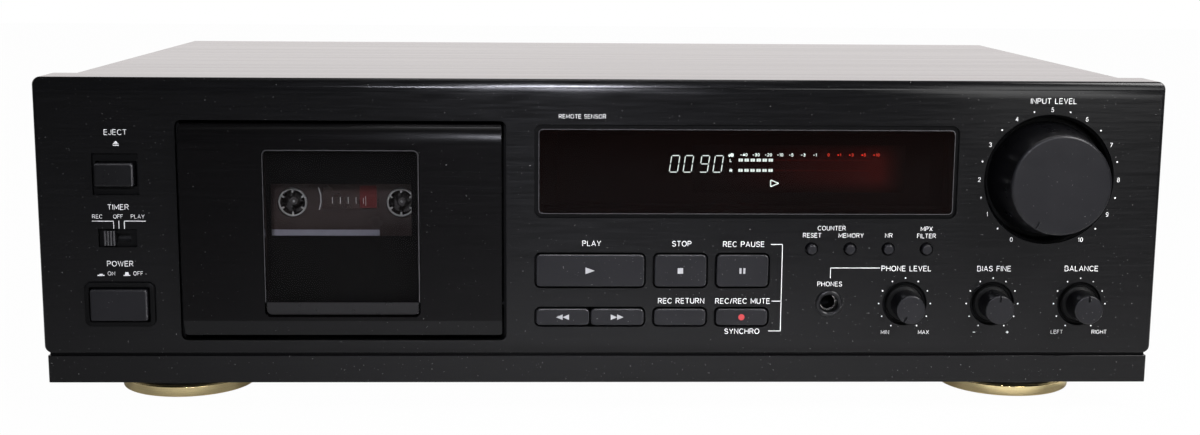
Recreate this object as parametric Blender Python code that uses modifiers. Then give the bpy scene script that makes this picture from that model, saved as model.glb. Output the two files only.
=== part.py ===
"""Front-loading cassette deck of full hi-fi width, modelled piece by piece.

Metres. X runs to the right as seen from the front, Y to the back and Z up. The origin lies on the
floor, under the middle of the overall box, so the front faces -Y.
"""
import math

import bmesh
import bpy
from mathutils import Matrix, Vector

# Fits and sheet sizes shared by many pieces
GAP = 0.0003
OVERRUN = 0.002
SHEET = 0.001
ROUND_STEPS = 14
KNOB_STEPS = 20
FOOT_STEPS = 24
DIAL_STEPS = 36
PIN_STEPS = 8
CORNER_STEPS = 2
EDGE_STEPS = 2
DOOR_CURVE_STEPS = 6
MERGE_DISTANCE = 0.00001
PARALLEL_SHARE = 0.99

# Columns across the front, from its left edge to its right edge
LEFT_MARGIN = 0.0168
POWER_FRAME_WIDTH = 0.027
POWER_TO_WELL = 0.0095
WELL_WIDTH = 0.1261
WELL_TO_DISPLAY = 0.0107
DISPLAY_WIDTH = 0.1642
DISPLAY_TO_DIAL = 0.0106
DIAL_WELL_RADIUS = 0.025
RIGHT_MARGIN = 0.0191

# Controls below the display, as shares of its width
PLAY_SHARE = 0.2558
STOP_SHARE = 0.123
ROUND_FIRST_SHARE = 0.099
ROUND_PITCH_SHARE = 0.09135
KNOB_PITCH_SHARE = 0.2107
JACK_PITCH_SHARE = 0.1815
PLAY_WIDTH = DISPLAY_WIDTH * PLAY_SHARE
STOP_WIDTH = DISPLAY_WIDTH * STOP_SHARE
ROUND_FIRST_GAP = DISPLAY_WIDTH * ROUND_FIRST_SHARE
ROUND_PITCH = DISPLAY_WIDTH * ROUND_PITCH_SHARE
KNOB_PITCH = DISPLAY_WIDTH * KNOB_PITCH_SHARE
JACK_PITCH = DISPLAY_WIDTH * JACK_PITCH_SHARE

# Rows up the front, from the floor to the top edge
FOOT_HEIGHT = 0.012
SKIRT_HEIGHT = 0.0108
GROOVE = 0.0012
LOW_ROW_MARGIN = 0.011
SMALL_HOLE_HEIGHT = 0.0077
ROW_GAP = 0.0077
LARGE_HOLE_HEIGHT = 0.0138
ROW_TO_DISPLAY = 0.0137
DISPLAY_HEIGHT = 0.0363
TOP_MARGIN = 0.0173

# Depths of the case behind the front plate's face
BODY_DEPTH = 0.2429
PANEL_THICKNESS = 0.003
PANEL_DEPTH = 0.0203
PANEL_WALL = 0.0022
PANEL_CORNER = 0.003
PANEL_EDGE = 0.002
REAR_RECESS = 0.0017
COVER_INSET = 0.0084
COVER_DROP = 0.0005
COVER_BEND = 0.0018
SKIRT_SETBACK = 0.0018
SKIRT_INSET = 0.0008
SKIRT_CORNER = 0.0008
PAN_FLANGE = 0.01
REAR_FLANGE = 0.008

# Vent slots in the base pan, in rows across it
VENT_ROWS = 2
VENT_COLUMNS = 8
VENT_PITCH = 0.012
VENT_WIDTH = 0.004
VENT_LENGTH = 0.03

# Overall places worked out from the columns, rows and depths
PANEL_WIDTH = (LEFT_MARGIN + POWER_FRAME_WIDTH + POWER_TO_WELL + WELL_WIDTH + WELL_TO_DISPLAY
               + DISPLAY_WIDTH + DISPLAY_TO_DIAL + 2 * DIAL_WELL_RADIUS + RIGHT_MARGIN)
LEFT = -PANEL_WIDTH / 2
RIGHT = PANEL_WIDTH / 2
PANEL_BOTTOM = FOOT_HEIGHT + SKIRT_HEIGHT + GROOVE
LOW_ROW = PANEL_BOTTOM + LOW_ROW_MARGIN
HIGH_ROW = LOW_ROW + SMALL_HOLE_HEIGHT + ROW_GAP
DISPLAY_BOTTOM = HIGH_ROW + LARGE_HOLE_HEIGHT + ROW_TO_DISPLAY
DISPLAY_TOP = DISPLAY_BOTTOM + DISPLAY_HEIGHT
PANEL_TOP = DISPLAY_TOP + TOP_MARGIN

# Large level dial and the jacks at the rear set the overall depth
DIAL_PROUD = 0.0165
JACK_PROUD = 0.009
FRONT_Y = -(BODY_DEPTH - REAR_RECESS + JACK_PROUD - DIAL_PROUD) / 2
REAR_Y = FRONT_Y + BODY_DEPTH
PLATE_BACK = FRONT_Y + PANEL_THICKNESS
TRAY_BACK = FRONT_Y + PANEL_DEPTH
CASE_FRONT = TRAY_BACK + GAP
REAR_FACE = REAR_Y - REAR_RECESS
CASE_LEFT = LEFT + COVER_INSET
CASE_TOP = PANEL_TOP - COVER_DROP
PAN_LEFT = CASE_LEFT + SHEET + GAP
PAN_TOP = FOOT_HEIGHT + SHEET

# Feet
FOOT_RADIUS = 0.0239
FOOT_HUB_RADIUS = 0.02
FOOT_HUB_BOTTOM = 0.0068
FOOT_PAD_RADIUS = 0.0215
FOOT_PAD_HEIGHT = 0.0012
RING_RADIUS = 0.027
RING_TOP = 0.0058
RING_BOTTOM = 0.0012
RING_EDGE = 0.0008
FOOT_SIDE_INSET = 0.046
FOOT_FRONT_INSET = 0.046
FOOT_REAR_INSET = 0.045

# Front board behind the panel, its key switches and mounting posts
BOARD_DEPTH = 0.017
BOARD_THICKNESS = 0.0016
BOARD_MARGIN = 0.003
POST_RADIUS = 0.003
POST_INSET = 0.006
KEY_SWITCH_SIZE = 0.006
KEY_SWITCH_HEIGHT = 0.005
BOARD_FRONT = FRONT_Y + BOARD_DEPTH

# Light-touch buttons
BUTTON_CLEARANCE = 0.00055
BUTTON_CORNER = 0.0014
BUTTON_PROUD = 0.0008
BUTTON_TRAVEL = 0.001
BUTTON_FLANGE = 0.0012
FLANGE_THICKNESS = 0.0012
PLUNGER_RADIUS = 0.0015
PAIR_GAP = 0.0005
COLUMN_GAP = 0.0029
BUTTONS_INSET = 0.0002
ROUND_BUTTON_RADIUS = 0.00205
ROUND_HOLE_RADIUS = 0.00265
ROUND_FLANGE_RADIUS = 0.0032
ROUND_BUTTON_PROUD = 0.002
ROUND_DROP = 0.01195

# Display
DISPLAY_POCKET = 0.0015
DISPLAY_CORNER = 0.003
LENS_CLEARANCE = 0.0016
LENS_THICKNESS = 0.0016
LENS_LEDGE = 0.002
TUBE_INSET = 0.007
TUBE_FRONT_DEPTH = 0.0095

# Phones jack and small knobs
KNOB_END_INSET = 0.0295
KNOB_ROW = 0.0202
KNOB_POCKET_RADIUS = 0.0085
KNOB_POCKET = 0.002
KNOB_FLANGE_RADIUS = 0.0075
KNOB_FLANGE_TOP = 0.0005
KNOB_RADIUS = 0.0056
KNOB_PROUD = 0.012
KNOB_EDGE = 0.0006
SHAFT_RADIUS = 0.002
SHAFT_FIT = 0.0003
BUSHING_RADIUS = 0.0035
BUSHING_LENGTH = 0.0054
POT_RADIUS = 0.008
SHAFT_END_DEPTH = 0.0152
JACK_RING_RADIUS = 0.0053
JACK_BORE_RADIUS = 0.0033
JACK_BORE_DEPTH = 0.0135
JACK_BARREL_RADIUS = 0.0044
JACK_BODY_RADIUS = 0.0065
JACK_RING_PROUD = 0.0008

# Large level dial in its round well
DIAL_DROP = 0.0381
DIAL_WELL_DEPTH = 0.008
DIAL_WELL_WALL = 0.0014
DIAL_WELL_FLOOR = 0.0012
DIAL_RADIUS = 0.0193
DIAL_BASE_RADIUS = 0.0222
DIAL_EDGE = 0.0009
DIAL_SHAFT_RADIUS = 0.003
DIAL_BUSHING_RADIUS = 0.0048
DIAL_POT_RADIUS = 0.012
DIAL_POT_THICKNESS = 0.0065
NOTCH_WIDTH = 0.0009
NOTCH_DEPTH = 0.0006
DIAL_NOTCH_LENGTH = 0.0032
KNOB_NOTCH_LENGTH = 0.0022
LOW_STOP_DEGREES = 240
CENTRE_DEGREES = 90

# Power button in its frame
POWER_FRAME_HEIGHT = 0.0174
POWER_FRAME_RISE = 0.0111
POWER_FRAME_PROUD = 0.0011
POWER_SLEEVE_INSET = 0.001
POWER_SLEEVE_WALL = 0.001
POWER_SLEEVE_DEPTH = 0.008
POWER_CLEARANCE = 0.0005
POWER_PROUD = 0.003
POWER_TRAVEL = 0.004
POWER_FLANGE = 0.0012
POWER_ROD = 0.004
POWER_ROD_DEPTH = 0.029
POWER_SWITCH_DEPTH = 0.0243
POWER_SWITCH_LENGTH = 0.022
POWER_SWITCH_WIDTH = 0.014
POWER_SWITCH_HEIGHT = 0.013
POWER_BRACKET = 0.006
FRAME_CORNER = 0.0025

# Timer slide switch
TIMER_GAP = 0.0136
TIMER_WIDTH = 0.0148
TIMER_HEIGHT = 0.0071
TIMER_POCKET = 0.002
TIMER_KNOB_WIDTH = 0.0045
TIMER_KNOB_PROUD = 0.0005
TIMER_TRAVEL = 0.0061
TIMER_STEM = 0.0024
TIMER_STEM_DEPTH = 0.0068
TIMER_BODY_DEPTH = 0.0105
TIMER_BODY_MARGIN = 0.0015
TIMER_RIDGE = 0.0005

# Eject button
EJECT_GAP = 0.0132
EJECT_POCKET_WIDTH = 0.0177
EJECT_POCKET_HEIGHT = 0.0161
EJECT_POCKET = 0.002
EJECT_WIDTH = 0.0148
EJECT_HEIGHT = 0.009
EJECT_CLEARANCE = 0.0004
EJECT_TRAVEL = 0.0025
EJECT_PRESSED_PROUD = 0.0005
EJECT_PROUD = EJECT_TRAVEL + EJECT_PRESSED_PROUD
EJECT_ROD_DEPTH = 0.012

# Tape door
WELL_RISE = 0.0054
WELL_TOP_MARGIN = 0.0161
WELL_CORNER = 0.0025
DOOR_SIDE_GAP = 0.0017
DOOR_BOTTOM_GAP = 0.0023
DOOR_TOP_GAP = 0.0012
DOOR_PROUD = 0.0035
DOOR_THICKNESS = 0.006
DOOR_CHAMFER_HEIGHT = 0.0067
DOOR_CHAMFER_DEPTH = 0.003
DOOR_CURVE_HEIGHT = 0.0075
DOOR_CURVE_DEPTH = 0.004
WINDOW_WIDTH = 0.06
WINDOW_RISE = 0.0077
WINDOW_TOP_MARGIN = 0.0094
WINDOW_CORNER = 0.0025
WINDOW_PROUD = 0.0003
WINDOW_BEVEL_HEIGHT = 0.0049
WINDOW_BEVEL_DEPTH = 0.0014
HINGE_RISE = 0.0108
HINGE_DEPTH = 0.008
HINGE_PIN_RADIUS = 0.0015
HINGE_PIN_LENGTH = 0.0055
LUG_RADIUS = 0.0034
LUG_WIDTH = 0.003
CHEEK_GAP = 0.0007

# Cassette and its holder
CASSETTE_WIDTH = 0.1004
CASSETTE_HEIGHT = 0.0638
CASSETTE_THICKNESS = 0.0087
CASSETTE_FRONT_DEPTH = 0.014
CASSETTE_WALL = 0.0015
CASSETTE_RIM = 0.004
CASSETTE_CORNER = 0.0015
CASSETTE_RISE = 0.0041
NOSE_WIDTH = 0.066
NOSE_TOP_WIDTH = 0.061
NOSE_HEIGHT = 0.0155
NOSE_SWELL = 0.00165
HEAD_SLOT_WIDTH = 0.014
ROLLER_SLOT_WIDTH = 0.013
SLOT_THICKNESS = 0.005
HUB_SPACING = 0.0425
HUB_RISE = 0.0349
SHELL_HOLE_RADIUS = 0.0059
HUB_BORE_RADIUS = 0.0049
HUB_TOOTH_RADIUS = 0.0038
HUB_TEETH = 6
HUB_TOOTH_SHARE = 0.3
LEFT_PACK_RADIUS = 0.0156
RIGHT_PACK_RADIUS = 0.0125
REEL_PLAY = 0.0004
HOLDER_WALL = 0.0012
HOLDER_LIP = 0.003
HOLDER_BAR_DEPTH = 0.013

# Tape mechanism behind the door
MECH_DEPTH = 0.033
MECH_SHEET = 0.0015
MECH_TOP_MARGIN = 0.0025
CHEEK_BOTTOM_GAP = 0.0008
TABLE_RADIUS = 0.012
TABLE_THICKNESS = 0.0045
SPINDLE_RADIUS = 0.0026
SPINDLE_TIP_RADIUS = 0.0015
SPINDLE_REACH = 0.005
SPINDLE_SHAFT_RADIUS = 0.0016
SPINDLE_SHAFT_FIT = 0.0004
SPINDLE_FIN_RADIUS = 0.0031
SPINDLE_FIN_WIDTH = 0.0008
SPINDLE_FINS = 3
CAPSTAN_OFFSET = 0.021
CAPSTAN_RISE = 0.0065
CAPSTAN_RADIUS = 0.00125
CAPSTAN_HOLE_RADIUS = 0.0031
CAPSTAN_ENTRY = 0.001
BEARING_RADIUS = 0.004
BEARING_LENGTH = 0.007
BEARING_FIT = 0.0003
FLYWHEEL_RADIUS = 0.022
FLYWHEEL_THICKNESS = 0.008
FLYWHEEL_RIM = 0.003
FLYWHEEL_WEB = 0.0025
FLYWHEEL_HUB_RADIUS = 0.005
ROLLER_RADIUS = 0.006
ROLLER_LENGTH = 0.008
ROLLER_DROP = 0.0016
AXLE_RADIUS = 0.001
AXLE_COLLAR_RADIUS = 0.0025
HEAD_WIDTH = 0.012
HEAD_HEIGHT = 0.012
HEAD_ROUND = 0.003
CARRIAGE_HEIGHT = 0.015
CARRIAGE_THICKNESS = 0.002
MOTOR_RADIUS = 0.013
MOTOR_LENGTH = 0.024
MOTOR_OFFSET = 0.04
MOTOR_POST_RADIUS = 0.0022
MOTOR_POST_DEGREES = 120
PULLEY_RADIUS = 0.004
PULLEY_LENGTH = 0.006
PULLEY_BORE_RADIUS = 0.0013
MOTOR_SHAFT_RADIUS = 0.001
BELT_THICKNESS = 0.0009
BELT_WIDTH = 0.004
IDLER_RADIUS = 0.008
IDLER_THICKNESS = 0.0035
IDLER_DEGREES = 145
IDLER_SHAFT_RADIUS = 0.0012
REEL_MOTOR_RADIUS = 0.0105
REEL_MOTOR_LENGTH = 0.018

# Electronics in the case
MAIN_BOARD_RISE = 0.008
MAIN_BOARD_FRONT_DEPTH = 0.08
MAIN_BOARD_REAR_MARGIN = 0.01
MAIN_BOARD_SIDE_MARGIN = 0.012
STANDOFF_RADIUS = 0.003
CORE_WIDTH = 0.056
CORE_DEPTH = 0.03
CORE_HEIGHT = 0.047
COIL_WIDTH = 0.036
COIL_DEPTH = 0.046
COIL_HEIGHT = 0.034
TRANSFORMER_SIDE_MARGIN = 0.016
TRANSFORMER_REAR_MARGIN = 0.04
TRANSFORMER_FOOT = 0.002
TRANSFORMER_TAB = 0.01
HEATSINK_WIDTH = 0.04
HEATSINK_HEIGHT = 0.03
HEATSINK_FINS = 3
CAPACITOR_RADIUS = 0.009
CAPACITOR_HEIGHT = 0.026
SMALL_CAPACITOR_RADIUS = 0.005
SMALL_CAPACITOR_HEIGHT = 0.012
CHIP_LENGTH = 0.034
CHIP_WIDTH = 0.014
CHIP_HEIGHT = 0.004

# Shares of the main board's width and depth at which its larger parts stand
MAIN_CAPACITOR_SHARES = ((0.08, 0.3), (0.08, 0.55))
SMALL_CAPACITOR_SHARES = ((0.2, 0.72), (0.3, 0.25), (0.42, 0.8), (0.55, 0.3), (0.85, 0.4))
CHIP_SHARES = ((0.34, 0.52), (0.56, 0.58), (0.78, 0.66))
HEATSINK_SHARES = (0.2, 0.92)
FIN_PITCH_SHARE = 0.04

# Line jacks and mains inlet on the rear panel
LINE_PITCH_X = 0.019
LINE_PITCH_Z = 0.0165
LINE_BLOCK_MARGIN = 0.0085
LINE_BLOCK_DEPTH = 0.01
LINE_SIDE_INSET = 0.085
LINE_RISE = 0.05
BARREL_RADIUS = 0.00415
BARREL_BORE_RADIUS = 0.0017
BARREL_BORE_DEPTH = 0.008
INLET_WIDTH = 0.024
INLET_HEIGHT = 0.016
INLET_FLANGE = 0.0016
INLET_BODY_INSET = 0.0018
INLET_DEPTH = 0.016
INLET_CAVITY_WIDTH = 0.0156
INLET_CAVITY_HEIGHT = 0.0092
INLET_CAVITY_DEPTH = 0.0125
INLET_CAVITY_CORNER = 0.0042
INLET_PIN_RADIUS = 0.0012
INLET_PIN_SPACING = 0.0086
INLET_PIN_LENGTH = 0.009
INLET_SIDE_INSET = 0.036
INLET_RISE = 0.04

# Places on the front that several pieces share
COLUMN_X = LEFT + LEFT_MARGIN + POWER_FRAME_WIDTH / 2
POWER_Z = PANEL_BOTTOM + POWER_FRAME_RISE + POWER_FRAME_HEIGHT / 2
TIMER_Z = POWER_Z + POWER_FRAME_HEIGHT / 2 + TIMER_GAP + TIMER_HEIGHT / 2
EJECT_Z = TIMER_Z + TIMER_HEIGHT / 2 + EJECT_GAP + EJECT_POCKET_HEIGHT / 2
WELL_LEFT = LEFT + LEFT_MARGIN + POWER_FRAME_WIDTH + POWER_TO_WELL
WELL_RIGHT = WELL_LEFT + WELL_WIDTH
WELL_BOTTOM = PANEL_BOTTOM + WELL_RISE
WELL_TOP = PANEL_TOP - WELL_TOP_MARGIN
DOOR_X = WELL_LEFT + WELL_WIDTH / 2
DOOR_LEFT = WELL_LEFT + DOOR_SIDE_GAP
DOOR_RIGHT = WELL_RIGHT - DOOR_SIDE_GAP
DOOR_BOTTOM = WELL_BOTTOM + DOOR_BOTTOM_GAP
DOOR_TOP = WELL_TOP - DOOR_TOP_GAP
DOOR_FRONT = FRONT_Y - DOOR_PROUD
DOOR_BACK = DOOR_FRONT + DOOR_THICKNESS
HINGE = Vector((DOOR_X, FRONT_Y + HINGE_DEPTH, DOOR_BOTTOM + HINGE_RISE))
DISPLAY_LEFT = WELL_RIGHT + WELL_TO_DISPLAY
DISPLAY_RIGHT = DISPLAY_LEFT + DISPLAY_WIDTH
DISPLAY_X = DISPLAY_LEFT + DISPLAY_WIDTH / 2
DISPLAY_Z = DISPLAY_BOTTOM + DISPLAY_HEIGHT / 2
DIAL_X = DISPLAY_RIGHT + DISPLAY_TO_DIAL + DIAL_WELL_RADIUS
DIAL_Z = PANEL_TOP - DIAL_DROP
KNOB_Z = PANEL_BOTTOM + KNOB_ROW
BALANCE_X = RIGHT - KNOB_END_INSET
BIAS_X = BALANCE_X - KNOB_PITCH
PHONE_LEVEL_X = BIAS_X - KNOB_PITCH
PHONES_X = PHONE_LEVEL_X - JACK_PITCH
KNOB_FLOOR = FRONT_Y + KNOB_POCKET
DIAL_FLOOR = FRONT_Y + DIAL_WELL_DEPTH

# Transport button places, columns from the left edge of the display
PLAY_X = DISPLAY_LEFT + BUTTONS_INSET + BUTTON_CLEARANCE + PLAY_WIDTH / 2
STOP_X = PLAY_X + PLAY_WIDTH / 2 + COLUMN_GAP + 2 * BUTTON_CLEARANCE + STOP_WIDTH / 2
PAUSE_X = STOP_X + STOP_WIDTH + COLUMN_GAP + 2 * BUTTON_CLEARANCE
PAIR_WIDTH = (PLAY_WIDTH - PAIR_GAP) / 2
PAIR_OFFSET = (PAIR_WIDTH + PAIR_GAP) / 2
LOW_Z = LOW_ROW + SMALL_HOLE_HEIGHT / 2
HIGH_Z = HIGH_ROW + LARGE_HOLE_HEIGHT / 2
LOW_HEIGHT = SMALL_HOLE_HEIGHT - 2 * BUTTON_CLEARANCE
HIGH_HEIGHT = LARGE_HOLE_HEIGHT - 2 * BUTTON_CLEARANCE
KEYS = (
    ("play_button", PLAY_X, HIGH_Z, PLAY_WIDTH, HIGH_HEIGHT),
    ("stop_button", STOP_X, HIGH_Z, STOP_WIDTH, HIGH_HEIGHT),
    ("pause_button", PAUSE_X, HIGH_Z, STOP_WIDTH, HIGH_HEIGHT),
    ("rewind_button", PLAY_X - PAIR_OFFSET, LOW_Z, PAIR_WIDTH, LOW_HEIGHT),
    ("forward_button", PLAY_X + PAIR_OFFSET, LOW_Z, PAIR_WIDTH, LOW_HEIGHT),
    ("return_button", STOP_X, LOW_Z, STOP_WIDTH, LOW_HEIGHT),
    ("record_button", PAUSE_X, LOW_Z, STOP_WIDTH, LOW_HEIGHT),
)
KEY_HOLES = (
    (PLAY_X, HIGH_Z, PLAY_WIDTH, HIGH_HEIGHT),
    (STOP_X, HIGH_Z, STOP_WIDTH, HIGH_HEIGHT),
    (PAUSE_X, HIGH_Z, STOP_WIDTH, HIGH_HEIGHT),
    (PLAY_X, LOW_Z, PLAY_WIDTH, LOW_HEIGHT),
    (STOP_X, LOW_Z, STOP_WIDTH, LOW_HEIGHT),
    (PAUSE_X, LOW_Z, STOP_WIDTH, LOW_HEIGHT),
)
ROUND_Z = DISPLAY_BOTTOM - ROUND_DROP
ROUND_FIRST_X = PAUSE_X + STOP_WIDTH / 2 + BUTTON_CLEARANCE + ROUND_FIRST_GAP
ROUND_NAMES = ("counter_reset_button", "counter_memory_button", "noise_reduction_button", "filter_button")
ROUND_KEYS = tuple((name, ROUND_FIRST_X + index * ROUND_PITCH) for index, name in enumerate(ROUND_NAMES))
SMALL_KNOBS = (
    ("phone_level_knob", PHONE_LEVEL_X, LOW_STOP_DEGREES),
    ("bias_knob", BIAS_X, CENTRE_DEGREES),
    ("balance_knob", BALANCE_X, CENTRE_DEGREES),
)
BUTTON_FLANGE_FRONT = PLATE_BACK + GAP
BUTTON_FLANGE_BACK = BUTTON_FLANGE_FRONT + FLANGE_THICKNESS
PLUNGER_END = BOARD_FRONT - KEY_SWITCH_HEIGHT - BUTTON_TRAVEL - GAP

# Cassette and mechanism places, all measured from the hinge and the cassette
TAPE_X = DOOR_X
CASSETTE_BOTTOM = HINGE.z + CASSETTE_RISE
CASSETTE_TOP = CASSETTE_BOTTOM + CASSETTE_HEIGHT
CASSETTE_FRONT = FRONT_Y + CASSETTE_FRONT_DEPTH
CASSETTE_BACK = CASSETTE_FRONT + CASSETTE_THICKNESS
CASSETTE_MIDDLE = (CASSETTE_FRONT + CASSETTE_BACK) / 2
NOSE_FRONT = CASSETTE_FRONT - NOSE_SWELL
NOSE_BACK = CASSETTE_BACK + NOSE_SWELL
HUB_Z = CASSETTE_BOTTOM + HUB_RISE
LEFT_HUB_X = TAPE_X - HUB_SPACING / 2
RIGHT_HUB_X = TAPE_X + HUB_SPACING / 2
CAPSTAN_X = TAPE_X + CAPSTAN_OFFSET
CAPSTAN_Z = CASSETTE_BOTTOM + CAPSTAN_RISE
MECH_FRONT = FRONT_Y + MECH_DEPTH
MECH_BACK = MECH_FRONT + MECH_SHEET
HOLDER_LEFT = TAPE_X - CASSETTE_WIDTH / 2 - GAP - HOLDER_WALL
HOLDER_RIGHT = TAPE_X + CASSETTE_WIDTH / 2 + GAP + HOLDER_WALL
HOLDER_BOTTOM = CASSETTE_BOTTOM - GAP - HOLDER_WALL
FLYWHEEL_FRONT = MECH_BACK + HOLDER_WALL + OVERRUN
FLYWHEEL_BACK = FLYWHEEL_FRONT + FLYWHEEL_THICKNESS
MOTOR_X = CAPSTAN_X - MOTOR_OFFSET - FLYWHEEL_RADIUS
ROLLER_Z = CASSETTE_BOTTOM - ROLLER_DROP - ROLLER_RADIUS
ROLLER_MIDDLE = CASSETTE_MIDDLE
TABLE_BACK = MECH_FRONT - SPINDLE_SHAFT_FIT
TABLE_FRONT = TABLE_BACK - TABLE_THICKNESS
IDLER_REACH = TABLE_RADIUS + IDLER_RADIUS + GAP
IDLER_X = RIGHT_HUB_X + IDLER_REACH * math.cos(math.radians(IDLER_DEGREES))
IDLER_Z = HUB_Z + IDLER_REACH * math.sin(math.radians(IDLER_DEGREES))
MECH_LEFT = DOOR_LEFT - CHEEK_GAP - MECH_SHEET
MECH_RIGHT = DOOR_RIGHT + CHEEK_GAP + MECH_SHEET
MECH_TOP = WELL_TOP + MECH_TOP_MARGIN

# Rear fittings and the vents
LINE_X = RIGHT - LINE_SIDE_INSET
LINE_Z = FOOT_HEIGHT + LINE_RISE
INLET_X = LEFT + INLET_SIDE_INSET
INLET_Z = FOOT_HEIGHT + INLET_RISE
VENT_Y = FRONT_Y + BODY_DEPTH / 2
REAR_INNER = REAR_FACE - SHEET
LINE_PLACES = tuple((LINE_X + side * LINE_PITCH_X / 2, LINE_Z + row * LINE_PITCH_Z / 2)
                    for side in (-1, 1) for row in (-1, 1))


def clear_scene():
    """Remove whatever the scene holds."""
    for item in list(bpy.data.objects):
        bpy.data.objects.remove(item, do_unlink=True)


def new_collection(name):
    """Make a collection in the scene."""
    group = bpy.data.collections.new(name)
    bpy.context.scene.collection.children.link(group)
    return group


def make_material(name, colour, roughness, metallic=0.0):
    """Make a Principled material."""
    item = bpy.data.materials.new(name)
    item.use_nodes = True
    shader = item.node_tree.nodes["Principled BSDF"]
    shader.inputs["Base Color"].default_value = (*colour, 1.0)
    shader.inputs["Roughness"].default_value = roughness
    shader.inputs["Metallic"].default_value = metallic
    item.diffuse_color = (*colour, 1.0)
    return item


def edges_along(verts, axis):
    """The edges between these corners that run along one axis."""
    chosen = set(verts)
    found = []
    for edge in {edge for vert in verts for edge in vert.link_edges}:
        if not all(vert in chosen for vert in edge.verts):
            continue
        run = edge.verts[1].co - edge.verts[0].co
        if abs(run["XYZ".index(axis)]) > PARALLEL_SHARE * run.length:
            found.append(edge)
    return found


def add_block(mesh, low, high, corner=0.0, along="Y", steps=CORNER_STEPS):
    """Add a box between two corners, with its edges along one axis rounded."""
    low = Vector(low)
    high = Vector(high)
    size = high - low
    place = Matrix.Translation((low + high) / 2) @ Matrix.Diagonal((*size, 1.0))
    made = bmesh.ops.create_cube(mesh, size=1.0, matrix=place)
    if corner > 0:
        bmesh.ops.bevel(mesh, geom=edges_along(made["verts"], along), offset=corner, segments=steps,
                        profile=0.5, affect="EDGES", clamp_overlap=True)


def add_slab(mesh, x, z, width, height, front, back, corner=0.0):
    """Add a rounded plate that faces the front, by its centre and size."""
    add_block(mesh, (x - width / 2, front, z - height / 2), (x + width / 2, back, z + height / 2), corner)


def add_rod(mesh, start, end, radius, end_radius=None, steps=ROUND_STEPS):
    """Add a round bar or cone between two points."""
    start = Vector(start)
    end = Vector(end)
    run = end - start
    place = Matrix.Translation((start + end) / 2) @ run.to_track_quat("Z", "Y").to_matrix().to_4x4()
    bmesh.ops.create_cone(mesh, cap_ends=True, segments=steps, radius1=radius,
                          radius2=radius if end_radius is None else end_radius,
                          depth=run.length, matrix=place)


def add_pin(mesh, x, z, front, back, radius, steps=ROUND_STEPS):
    """Add a round bar that runs from front to back."""
    add_rod(mesh, (x, back, z), (x, front, z), radius, steps=steps)


def circle_points(x, z, radius, steps=ROUND_STEPS, start=0.0, turn=360.0):
    """Points on an arc, the end point left off for a full turn."""
    count = steps if turn == 360.0 else steps + 1
    angles = [math.radians(start + turn * index / steps) for index in range(count)]
    return [(x + radius * math.cos(angle), z + radius * math.sin(angle)) for angle in angles]


def add_outline(mesh, loops, low, high, axis):
    """Extrude flat outlines from low to high: along X they are (Y, Z) points, along Y (X, Z) points."""
    drawing = bpy.data.curves.new("outline", "CURVE")
    drawing.dimensions = "2D"
    drawing.fill_mode = "BOTH"
    drawing.extrude = (high - low) / 2
    for loop in loops:
        line = drawing.splines.new("POLY")
        line.points.add(len(loop) - 1)
        for point, (first, second) in zip(line.points, loop):
            point.co = (first, second, 0.0, 1.0)
        line.use_cyclic_u = True
    item = bpy.data.objects.new("outline", drawing)
    bpy.context.scene.collection.objects.link(item)
    middle = (low + high) / 2
    if axis == "X":
        turn = Matrix(((0, 0, 1, middle), (1, 0, 0, 0), (0, 1, 0, 0), (0, 0, 0, 1)))
    else:
        turn = Matrix(((1, 0, 0, 0), (0, 0, -1, middle), (0, 1, 0, 0), (0, 0, 0, 1)))
    item.matrix_world = turn
    graph = bpy.context.evaluated_depsgraph_get()
    solid_data = bpy.data.meshes.new_from_object(item.evaluated_get(graph))
    solid_data.transform(turn)
    part = bmesh.new()
    part.from_mesh(solid_data)
    bmesh.ops.remove_doubles(part, verts=part.verts, dist=MERGE_DISTANCE)
    bmesh.ops.recalc_face_normals(part, faces=part.faces)
    part.to_mesh(solid_data)
    part.free()
    mesh.from_mesh(solid_data)
    bpy.data.meshes.remove(solid_data)
    bpy.data.objects.remove(item)
    bpy.data.curves.remove(drawing)


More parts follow.
